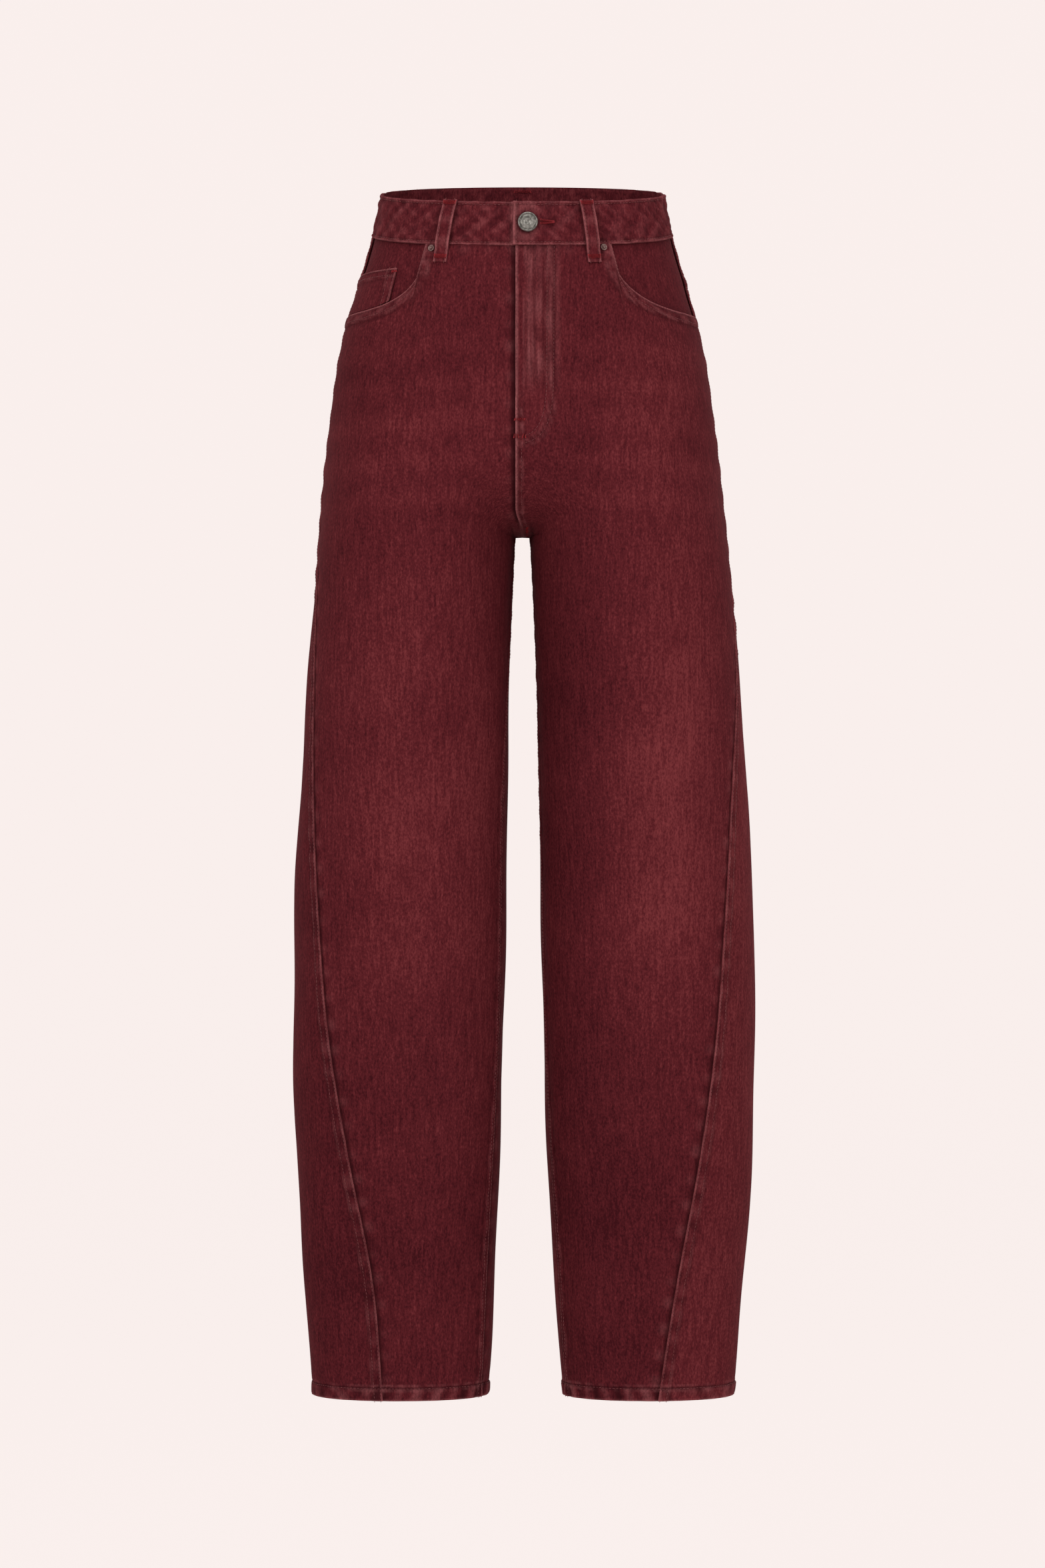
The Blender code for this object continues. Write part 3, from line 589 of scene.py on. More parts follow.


# %% [markdown]
# ## Folds and creases
# Worn jeans are nearly smooth, but never flat: soft diagonal drags run from the crotch and the side seam, and
# the lower legs buckle slightly over the hem. Each crease here is one given line, with a soft trough beside a
# soft ridge, and both die out at their ends.

# %% Creases, one by one: face, start x z, end x z, width, depth
CREASES = (
    ("front", 0.012, -0.275, 0.070, -0.225, 0.008, 0.0014),
    ("front", 0.012, -0.288, 0.085, -0.270, 0.009, 0.0012),
    ("front", -0.012, -0.278, -0.075, -0.235, 0.009, 0.0014),
    ("front", -0.014, -0.290, -0.080, -0.285, 0.009, 0.0010),
    ("front", 0.030, -0.205, 0.110, -0.190, 0.012, 0.0008),
    ("front", -0.030, -0.200, -0.115, -0.180, 0.012, 0.0008),
    ("front", 0.150, -0.230, 0.080, -0.255, 0.012, 0.0009),
    ("front", -0.155, -0.240, -0.090, -0.262, 0.012, 0.0009),
    ("front", 0.045, -0.500, 0.095, -0.560, 0.016, 0.0010),
    ("front", -0.040, -0.520, -0.085, -0.590, 0.016, 0.0010),
    ("front", 0.150, -0.720, 0.100, -0.800, 0.016, 0.0014),
    ("front", -0.150, -0.760, -0.105, -0.850, 0.016, 0.0013),
    ("front", 0.172, -0.800, 0.160, -0.930, 0.012, 0.0020),
    ("front", 0.160, -0.905, 0.135, -0.975, 0.012, 0.0016),
    ("front", -0.175, -0.840, -0.160, -0.950, 0.012, 0.0018),
    ("front", 0.060, -0.930, 0.095, -0.985, 0.014, 0.0011),
    ("front", -0.055, -0.940, -0.090, -0.990, 0.014, 0.0011),
    ("front", 0.100, -0.960, 0.095, -1.020, 0.010, 0.0010),
    ("front", -0.115, -0.965, -0.120, -1.020, 0.010, 0.0010),
    ("back", 0.010, -0.255, 0.090, -0.300, 0.010, 0.0018),
    ("back", -0.010, -0.262, -0.085, -0.310, 0.010, 0.0018),
    ("back", 0.015, -0.285, 0.080, -0.350, 0.011, 0.0014),
    ("back", -0.015, -0.290, -0.075, -0.360, 0.011, 0.0014),
    ("back", 0.060, -0.560, 0.140, -0.585, 0.013, 0.0014),
    ("back", -0.060, -0.575, -0.140, -0.600, 0.013, 0.0014),
    ("back", 0.070, -0.620, 0.135, -0.605, 0.012, 0.0011),
    ("back", -0.070, -0.630, -0.135, -0.612, 0.012, 0.0011),
    ("back", 0.160, -0.820, 0.110, -0.930, 0.014, 0.0014),
    ("back", -0.165, -0.830, -0.115, -0.945, 0.014, 0.0014),
    ("back", 0.060, -0.940, 0.100, -1.000, 0.012, 0.0011),
    ("back", -0.060, -0.930, -0.095, -0.995, 0.012, 0.0011),
)


SOFT_SWELL = 0.0011
FLAT_AT_SEAM = 0.02


def creases_at(points, face):
    x = points[..., 0]
    z = points[..., 2]
    total = np.zeros(x.shape)
    for where, x0, z0, x1, z1, width, depth in CREASES:
        if where != face:
            continue
        length = math.hypot(x1 - x0, z1 - z0)
        ax = (x1 - x0) / length
        az = (z1 - z0) / length
        along = (x - x0) * ax + (z - z0) * az
        side = (x - x0) * az - (z - z0) * ax + 0.10 * width * np.sin(along * 90)
        ends = ease(along / (0.35 * length) + 0.5) * ease((length - along) / (0.35 * length) + 0.5)
        total += depth * ends * (0.8 * bump(side, width, width * 1.2) - bump(side, 0, width))
    soft = blur_field(x, z * 0.6 + points[..., 1] * 0.4, 0.085, 21 if face == "front" else 22)
    return total + SOFT_SWELL * soft


# %% [markdown]
# ## Seam relief
# A side seam is sewn with the allowances pressed to one side and topstitched twice. That raises one cloth
# into a low welt about nine millimetres wide, draws the other down into a groove, and puckers both, because
# the thread is shorter than the washed cloth. The pale line is the crest of the welt, where the dye has
# rubbed off.

# %% Relief of a welted edge, a plain edge and a hem, with painted shade in their grooves
WELT_WIDTH = 0.0088
WELT_HEIGHT = 0.0008
PUCKER_STEP = 0.0085
HEM_STITCH = 0.0108


def welt(d, s, seed, width=WELT_WIDTH, height=WELT_HEIGHT, pucker=0.00045, step=PUCKER_STEP):
    """The raised side of a seam: relief, worn, and painted shade in grooves and pucker troughs, at d from the
    edge, s along it.
    """
    wave = uneven(s, step, seed)
    slow = uneven(s, step * 5, seed + 1)
    on = band(d, -0.001, width, 0.0022)
    rows = bump(d, 0.0016, 0.0007) + bump(d, width - 0.0016, 0.0008)
    relief = height * on + pucker * wave * band(d, 0.0008, width + 0.0035, 0.0040) - 0.00030 * rows
    relief -= 0.00055 * bump(d, 0.0, 0.0006) + 0.0004 * bump(d, width + 0.0012, 0.0014)
    crest = bump(d, 0.0005, 0.0007) * (0.52 + 0.30 * uneven(s, step * 1.7, seed + 2))
    broken = np.clip(0.12 + 0.30 * uneven(s, step * 2.3, seed + 3), 0, 1)
    outer_crest = bump(d, width - 0.0004, 0.0007) * broken
    tops = on * np.clip(wave, 0, 1) * (0.14 + 0.08 * slow)
    shade_and_deep_dye = on * np.clip(-wave, 0, 1) * 0.42 + 0.25 * bump(d, width + 0.0014, 0.0013)
    shade_and_deep_dye += 0.30 * bump(d, 0.0022, 0.0009)
    return relief, crest + outer_crest + tops, shade_and_deep_dye


def leg_welt(d, s, seed):
    """The side seam's raised side: a thin crest, and puckers behind it with painted shade in their troughs.
    """
    relief, worn, shade_and_deep_dye = welt(d, s, seed, height=0.0009, pucker=0.0006, step=0.0115)
    tick = uneven(s, 0.0065, seed + 8)
    row = band(d, 0.0022, WELT_WIDTH + 0.0005, 0.0016)
    return relief, 0.78 * worn, shade_and_deep_dye + 0.30 * np.clip(tick, 0, 1) * row + 0.10 * row


def tucked(d, s, seed, depth=0.0006, reach=0.0026, pucker=0.00028):
    """The low side of a seam: a groove darkened by painted shadow, with small puckers running away from it.
    """
    wave = uneven(s, PUCKER_STEP * 1.3, seed)
    relief = -depth * bump(d, 0.0, reach) + pucker * wave * bump(d, 0.0035, 0.0045)
    shade_and_deep_dye = 0.85 * bump(d, 0.0010, 0.0021) + 0.25 * np.clip(-wave, 0, 1) * bump(d, 0.004, 0.005)
    return relief, 0.20 * np.clip(wave, 0, 1) * bump(d, 0.005, 0.004), shade_and_deep_dye


def hem_band(d, s, seed):
    """Turned-up hem: roping waves between the stitch line and the edge, painted shade in troughs and stitch
    groove.
    """
    stitch = HEM_STITCH
    lean = s + 0.35 * d
    wave = uneven(lean, 0.0085, seed)
    slow = uneven(s, 0.045, seed + 1)
    on = band(d, -0.001, stitch, 0.0020)
    relief = 0.0007 * on + 0.00075 * wave * band(d, 0.0006, stitch + 0.0015, 0.0045)
    relief -= 0.0005 * bump(d, stitch, 0.0008)
    relief += 0.00035 * wave * bump(d, stitch + 0.004, 0.005)
    worn = 0.55 * bump(d, 0.0, 0.0010) * (0.8 + 0.2 * wave) + on * np.clip(wave, 0, 1) * 0.34
    broken = np.clip(0.45 + 0.40 * slow + 0.50 * uneven(lean, 0.006, seed + 2), 0, 1)
    worn += 0.32 * (bump(d, stitch - 0.0018, 0.0009) + bump(d, stitch + 0.0020, 0.0009)) * broken
    shade_and_deep_dye = on * np.clip(-wave - 0.05, 0, 1) * 1.1 + 0.70 * bump(d, stitch, 0.0011)
    return relief, worn, shade_and_deep_dye


def scoop_edge(d, s, seed):
    """The turned edge of a pocket opening: pale on its crest, close puckers between its two rows, and painted
    shade.
    """
    relief, worn, shade_and_deep_dye = welt(d, s, seed, height=0.0010, pucker=0.0006, step=0.0048)
    near = d < 0.02
    tick = uneven(s + 0.4 * d, 0.0046, seed + 9)
    between = band(d, 0.0018, 0.0078, 0.0014)
    worn = worn + 0.34 * np.clip(tick, 0, 1) * between
    shade_and_deep_dye = shade_and_deep_dye + 0.42 * np.clip(-tick, 0, 1) * between + 0.30 * bump(d, 0.0100, 0.0016)
    rubbed = 0.40 * bump(d, 0.0004, 0.0009)
    return relief * near, (worn + rubbed) * near, shade_and_deep_dye * near


def pile(parts):
    """All the parts' relief, worn, and painted shade with deep dye, added up."""
    relief = sum(part[0] for part in parts)
    worn = np.clip(sum(part[1] for part in parts), 0, 1)
    shade_and_deep_dye = np.clip(sum(part[2] for part in parts), 0, 1)
    return relief, worn, shade_and_deep_dye


# %% Relief of the fly
# The fly's topstitching runs down beside the zip and curves in to its foot: x and z of the outer row.
FLY_CURVE = (
    (0.0268, -0.054), (0.0266, -0.090), (0.0264, -0.130), (0.0262, -0.165), (0.0256, -0.182),
    (0.0238, -0.196), (0.0205, -0.207), (0.0155, -0.2150), (0.0095, -0.2195), (0.0030, -0.2220),
)


def fly_relief(side, points):
    """Ridges of the fly: the folded lap edge, the zip under it and the curved topstitching, and their painted
    shade.
    """
    x = points[..., 0]
    z = points[..., 2]
    flat = points * np.array([1.0, 0.0, 1.0])
    curve = np.array([(px, 0.0, pz) for px, pz in FLY_CURVE])
    row_d, row_s = nearest(flat, curve)
    if side == "right":
        # On the right front only the painted shadow of the lap beside the middle.
        shade = bump(x, -0.0078, 0.0020) * ease((z - CROTCH) / 0.04)
        return -0.0004 * shade, 0.0, 0.62 * shade
    down = ease((z + 0.185) / 0.02)
    ridges = bump(x, 0.0055, 0.0030) + 0.8 * bump(x, 0.0140, 0.0022) + 0.6 * bump(x, 0.0215, 0.0018)
    gaps = bump(x, 0.0100, 0.0016) + 0.9 * bump(x, 0.0180, 0.0015)
    slow = 0.75 + 0.25 * uneven(z, 0.030, 31)
    wave = uneven(row_s, 0.0075, 37)
    streak = blur_field(x * 2.6, z * 0.30, 0.0100, 55)
    relief = down * (0.0006 * ridges - 0.0003 * gaps) * slow - 0.0005 * bump(row_d, 0.0, 0.0009)
    relief += 0.0003 * wave * bump(row_d, 0.003, 0.004) + 0.0004 * bump(row_d, 0.0024, 0.0014)
    patch = 0.65 + 0.35 * uneven(z, 0.022, 33)
    worn = down * patch * (0.28 * ridges + 0.10 * bump(x, 0.009, 0.006)) + 0.20 * bump(row_d, 0.0024, 0.0010)
    beyond = band(x, 0.019, 0.026, 0.004) * down
    inside = band(x, 0.000, 0.027, 0.004) * down
    worn = worn + 0.30 * np.clip(streak, 0, 1) * inside
    beyond = beyond + 2.2 * np.clip(-streak, 0, 1) * inside
    relief = relief + 0.0005 * streak * inside
    return relief, worn, down * 0.46 * gaps + 0.55 * bump(row_d, 0.0, 0.0013) + 0.16 * beyond


def scaled(share, part):
    """A part's relief, worn, and painted shade with deep dye, each times the share."""
    return tuple(share * a for a in part)


def blended(share, first, second):
    """The first part where the share is 1, and the second where it is 0."""
    return tuple(share * a + (1 - share) * b for a, b in zip(first, second))


# %% Front panels
FORK_SOFT = 0.01
FORK_LIFT = 0.004
HEM_SHARE = 1.25
BAND_SEAM_SHARE = 0.6


def fly_edge(side, d, s, fold, down, seed):
    """The front edge above the fork: a folded lap on the left, and the groove behind it on the right in
    painted shadow.
    """
    if side == "right":
        relief, worn, shade_and_deep_dye = tucked(d, s, seed + 2, depth=0.0012, reach=0.003)
        return relief, worn, shade_and_deep_dye + 0.35 * bump(d, 0.001, 0.003)
    lower = ease((down - 0.175) / 0.02)
    knots = 0.5 * uneven(s, 0.0065, 8) + 0.5 * uneven(s, 0.02, 7)
    crest = bump(d, 0.0009, 0.0012) * (0.86 + 0.22 * knots)
    lap = (0.0005 * band(d, -0.001, 0.005, 0.004), 0.95 * crest, 0.20 * bump(d, 0.0036, 0.0010))
    spots = np.clip(uneven(s, 0.0070, 12), 0, 1) * bump(d, 0.0050, 0.0012)
    seam = (fold[0], fold[1] + 0.5 * spots, fold[2] + 0.30 * bump(d, 0.003, 0.002))
    return tuple(a + b * lower * 0.8 for a, b in zip(lap, seam))


def front_panel(side):
    q, z = front_grid(side)
    points, normals = laid(side, q, z)
    points[-1, :, 2] = HEM
    side_d, side_s = nearest(points, points[:, -1])
    inner_d, inner_s = nearest(points, points[:, 0])
    hem_d, hem_s = nearest(points, points[-1])
    scoop_d, scoop_s = nearest(points, points[0, SCOOP_CORNER:])
    band_d, band_s = nearest(points, points[0, :SCOOP_CORNER + 1])
    seed = 100 if side == "right" else 200
    above = ease((points[..., 2] - CROTCH - FORK_LIFT) / FORK_SOFT)
    fold = welt(inner_d, inner_s, seed + 1, width=0.0070, pucker=0.0004)
    middle = fly_edge(side, inner_d, inner_s, fold, -points[..., 2], seed)
    # Painted shade in small dips beside the inseam.
    shaded_dips = np.clip(uneven(inner_s, 0.0080, seed + 20), 0, 1) * bump(inner_d, 0.0095, 0.0030)
    leg = (0.85 * fold[0] - 0.0004 * shaded_dips, 0.70 * fold[1], 0.75 * fold[2] + 0.55 * shaded_dips)
    on_hip = ease((points[..., 2] + 0.30) / 0.08)
    relief, worn, shade_and_deep_dye = pile([
        tucked(side_d, side_s, seed + 4),
        blended(above, middle, leg),
        scaled(HEM_SHARE, hem_band(hem_d, hem_s, seed + 5)),
        scoop_edge(scoop_d, scoop_s, seed + 6),
        scaled(BAND_SEAM_SHARE, tucked(band_d, band_s, seed + 7)),
        scaled(on_hip, fly_relief(side, points)),
    ])
    relief = relief + creases_at(points, "front") * ease(np.minimum(side_d, inner_d) / FLAT_AT_SEAM)
    masks = {"fade_and_light": fade_and_light_at(points, "front"), "worn": worn, "shade_and_deep_dye": shade_and_deep_dye}
    return cloth_shell("front_" + side, "front_panel_" + side, points, normals, relief, DENIM, masks,
                       side == "right", (q, 1.0))


# %% Back panels
def back_panel(side):
    q, z = back_grid(side)
    points, normals = laid(side, q, z)
    points[-1, :, 2] = HEM
    side_d, side_s = nearest(points, points[:, 0])
    inner_d, inner_s = nearest(points, points[:, -1])
    hem_d, hem_s = nearest(points, points[-1])
    yoke_d, yoke_s = nearest(points, points[0])
    seed = 300 if side == "right" else 400
    above = ease((points[..., 2] - CROTCH - FORK_LIFT) / FORK_SOFT)
    seat = welt(inner_d, inner_s, seed + 1) if side == "left" else tucked(inner_d, inner_s, seed + 2)
    leg = tucked(inner_d, inner_s, seed + 3, depth=0.0004)
    relief, worn, shade_and_deep_dye = pile([
        leg_welt(side_d, side_s, seed + 4),
        blended(above, seat, leg),
        scaled(HEM_SHARE, hem_band(hem_d, hem_s, seed + 5)),
        tucked(yoke_d, yoke_s, seed + 6),
    ])
    relief = relief + creases_at(points, "back") * ease(np.minimum(side_d, inner_d) / FLAT_AT_SEAM)
    on_front = ease((0.01 - points[..., 1]) / 0.03)
    outer_fade_and_light = fade_and_light_at(points, "front") + OUTER_PANEL_FADE[side]
    fade_and_light = fade_and_light_at(points, "back") * (1 - on_front) + outer_fade_and_light * on_front
    masks = {"fade_and_light": fade_and_light, "worn": worn, "shade_and_deep_dye": shade_and_deep_dye}
    return cloth_shell("back_" + side, "back_panel_" + side, points, normals, relief, DENIM, masks,
                       side == "right", (q, 3.0))


cloth = {}
for side in ("right", "left"):
    cloth["front_" + side] = front_panel(side)
    cloth["back_" + side] = back_panel(side)

# %% [markdown]
# ## Yokes, pocket facings and patch pockets
# The yoke replaces the waist darts at the back. The facing is the denim seen inside the front pocket opening,
# with the small coin pocket on the wearer's right. The back pockets are plain patches with a pointed foot.

# %% Sizes of the smaller pieces, repeated from the part
COIN_TOP = -0.0715
COIN_INNER_X = 0.1070
COIN_OUTER_Q = 1.93
COIN_CLEAR = 0.0015
POCKET_MIDDLE_Q = 3.22
POCKET_TOP_Z = -0.1190
POCKET_TOP_WIDTH = 0.1300
POCKET_BOTTOM_WIDTH = 0.1080
POCKET_SIDE_HEIGHT = 0.1150
POCKET_TIP_HEIGHT = 0.1380
POCKET_LEAN = 0.0060
POCKET_Q_STEP = 0.1


def packed_shares(count, fine):
    """Shares from 0 to 1 that lie closer together at both ends."""
    t = np.linspace(0, 1, count)
    return t * (1 - fine) + fine * (0.5 - 0.5 * np.cos(np.pi * t))


# %% Back yokes
def back_yoke(side):
    share = packed_shares(120, 0.6)
    q_line = 2 + 2 * share
    top = rim_height(side, q_line, WAISTBAND_HEIGHT)
    bottom = YOKE_SIDE_Z - YOKE_DROP * share
    z = top + (bottom - top) * packed_shares(44, 0.5)[:, None]
    points, normals = laid(side, np.broadcast_to(q_line, z.shape), z)
    seed = 500 if side == "right" else 520
    seat = welt if side == "left" else tucked
    relief, worn, shade_and_deep_dye = pile([
        welt(*nearest(points, points[-1]), seed),
        scaled(BAND_SEAM_SHARE, tucked(*nearest(points, points[0]), seed + 2)),
        welt(*nearest(points, points[:, 0]), seed + 4, pucker=0.0004),
        seat(*nearest(points, points[:, -1]), seed + 6),
    ])
    masks = {"fade_and_light": fade_and_light_at(points, "back"), "worn": worn, "shade_and_deep_dye": shade_and_deep_dye}
    return cloth_shell("yoke_" + side, "back_yoke_" + side, points, normals, relief, DENIM, masks,
                       side == "right")


# %% Pocket facings
FACING_UP = 0.0040
FACING_BEHIND_Q = (2.012, 2.024, 2.036, 2.048)
FACING_FADE = 0.34
BEHIND_SIDE = 0.0007
BEHIND_BAND = 0.0009


def pocket_facing(side):
    """It runs on behind the front panel, the back panel and the band, a little deeper where it goes under."""
    corner_x, corner_z, _ = SCOOPS[side]
    corner_q = float(q_at(side, corner_x, corner_z, "front"))
    inner_q = float(q_at(side, corner_x - FACING_UNDERLAP, corner_z, "front"))
    under_q = np.linspace(inner_q, corner_q, 8)[:-1]
    open_q = np.linspace(corner_q, 2.0, 46)
    q_line = np.concatenate([under_q, open_q, FACING_BEHIND_Q])
    open_z = scoop_height(side, open_q)
    behind_z = np.full(len(FACING_BEHIND_Q), open_z[-1])
    scoop_z = np.concatenate([np.full(len(under_q), corner_z), open_z, behind_z])
    top = rim_height(side, q_line, WAISTBAND_HEIGHT - FACING_UP)
    z = top + (scoop_z - FACING_UNDERLAP - top) * np.linspace(0, 1, 34)[:, None]
    points, normals = laid(side, np.broadcast_to(q_line, z.shape), z)
    scoop_d, _ = nearest(points, wrapped_point(side, open_q, open_z))
    groove = tucked(*nearest(points, points[:, -1 - len(FACING_BEHIND_Q)]), 540)
    top_d, _ = nearest(points, points[0])
    # Painted shade under the scoop edge and under the band.
    shade = 0.60 * np.exp(-scoop_d / 0.004) + 0.30 * np.exp(-np.maximum(top_d - FACING_UP, 0) / 0.003)
    relief = groove[0] * 0.5 + 0.0003 * blur_field(points[..., 0], points[..., 2], 0.03, 33)
    masks = {"fade_and_light": FACING_FADE, "shade_and_deep_dye": np.clip(shade + groove[2] * 0.5, 0, 1)}
    deeper = BEHIND_SIDE * ease((q_line - 1.99) / 0.02)[None, :]
    deeper = deeper + BEHIND_BAND * ease((FACING_UP + 0.001 - top_d) / 0.003)
    face = (-DENIM - FACING_GAP - deeper)[..., None]
    return cloth_shell("facing_" + side, "pocket_facing_" + side, points + normals * face, normals, relief,
                       DENIM, masks, side == "right")


# %% Coin pocket
COIN_RELIEF = 0.0006
COIN_FADE = 0.38


def coin_pocket():
    side = "right"
    inner_q = float(q_at(side, COIN_INNER_X, COIN_TOP, "front"))
    q_line = inner_q + (COIN_OUTER_Q - inner_q) * packed_shares(40, 0.6)
    bottom = scoop_height(side, q_line) + COIN_CLEAR
    z = COIN_TOP + (bottom - COIN_TOP) * packed_shares(36, 0.6)[:, None]
    q = np.broadcast_to(q_line, z.shape)
    points = wrapped_point(side, q, z)
    normals = form_normal(side, q, z)
    relief, worn, shade_and_deep_dye = pile([
        scaled(1.1, welt(*nearest(points, points[0]), 560, width=0.0078, pucker=0.0003)),
        scaled(1.1, welt(*nearest(points, points[:, 0]), 562, width=0.0110, pucker=0.0003)),
    ])
    relief = np.minimum(relief, COIN_RELIEF)
    points = points + normals * (LAYER_GAP - FACING_GAP)
    masks = {"fade_and_light": COIN_FADE, "worn": worn, "shade_and_deep_dye": shade_and_deep_dye}
    return cloth_shell("coin_pocket_cloth", "coin_pocket", points, normals, relief, DENIM, masks, True)


# %% Back pockets
def back_pocket(side):
    across = 2 * packed_shares(65, 0.5) - 1
    down = packed_shares(64, 0.5)[:, None]
    half = (POCKET_TOP_WIDTH + (POCKET_BOTTOM_WIDTH - POCKET_TOP_WIDTH) * down) / 2
    height = POCKET_SIDE_HEIGHT + (POCKET_TIP_HEIGHT - POCKET_SIDE_HEIGHT) * (1 - np.abs(across))
    middle = form_point(side, POCKET_MIDDLE_Q, POCKET_TOP_Z)
    step = form_point(side, POCKET_MIDDLE_Q + POCKET_Q_STEP, POCKET_TOP_Z) - middle
    q = POCKET_MIDDLE_Q - half * across * POCKET_Q_STEP / np.linalg.norm(step)
    z = POCKET_TOP_Z + POCKET_LEAN * across - height * down
    points = wrapped_point(side, q, z)
    normals = form_normal(side, q, z)
    seed = 600 if side == "right" else 620
    parts = [welt(*nearest(points, points[0]), seed, width=0.0130, height=0.0007)]
    for k, line in enumerate((points[:, 0], points[:, -1], points[-1])):
        edge = nearest(points, line)
        parts.append(welt(*edge, seed + 4 * k + 4, width=0.0080, height=0.0005, pucker=0.0003))
    relief, worn, shade_and_deep_dye = pile(parts)
    relief = relief + creases_at(points, "back")
    masks = {"fade_and_light": fade_and_light_at(points, "back") + 0.06, "worn": worn, "shade_and_deep_dye": shade_and_deep_dye}
    points = points + normals * (POCKET_GAP + DENIM)
    return cloth_shell("patch_pocket_" + side, "back_pocket_" + side, points, normals, relief, DENIM, masks,
                       side == "left")


for side in ("right", "left"):
    cloth["yoke_" + side] = back_yoke(side)
    cloth["facing_" + side] = pocket_facing(side)
    cloth["patch_pocket_" + side] = back_pocket(side)
cloth["coin_pocket_cloth"] = coin_pocket()

# %% [markdown]
# ## Waistband and belt loops
# The waistband is one doubled strip. Its left end laps over the right one and carries the buttonhole. Washing
# has made it the most mottled piece of all, with pale ridges along both edges where it folds over its own
# allowances.

# %% Waistband
BAND_LAP = 0.0080
BAND_UNDERLAP = 0.0280
BAND_RISE_START = 0.0450
BAND_RISE = 0.0018
BAND_DIP_START = 0.0160
BAND_DIP_LENGTH = 0.0240
BAND_DIP = 0.0012
BAND_MIDDLE_Z = -0.0300


# Belt loops: name, side, face, distance from the middle at the top and at the bottom, in metres.
LOOPS = (
    ("belt_loop_front_right", "right", "front", 0.0605, 0.0700),
    ("belt_loop_front_left", "left", "front", 0.0535, 0.0610),
    ("belt_loop_side_right", "right", "back", 0.0990, 0.1030),
    ("belt_loop_side_left", "left", "back", 0.0990, 0.1030),
    ("belt_loop_middle_back", "left", "back", 0.0000, 0.0000),
)
BUTTON_X = 0.0045
BUTTON_RADIUS = 0.0085
HOLE_START = 0.0150
HOLE_END = 0.0262
HOLE_DEPTH = WAISTBAND_HEIGHT / 2 - 0.0004


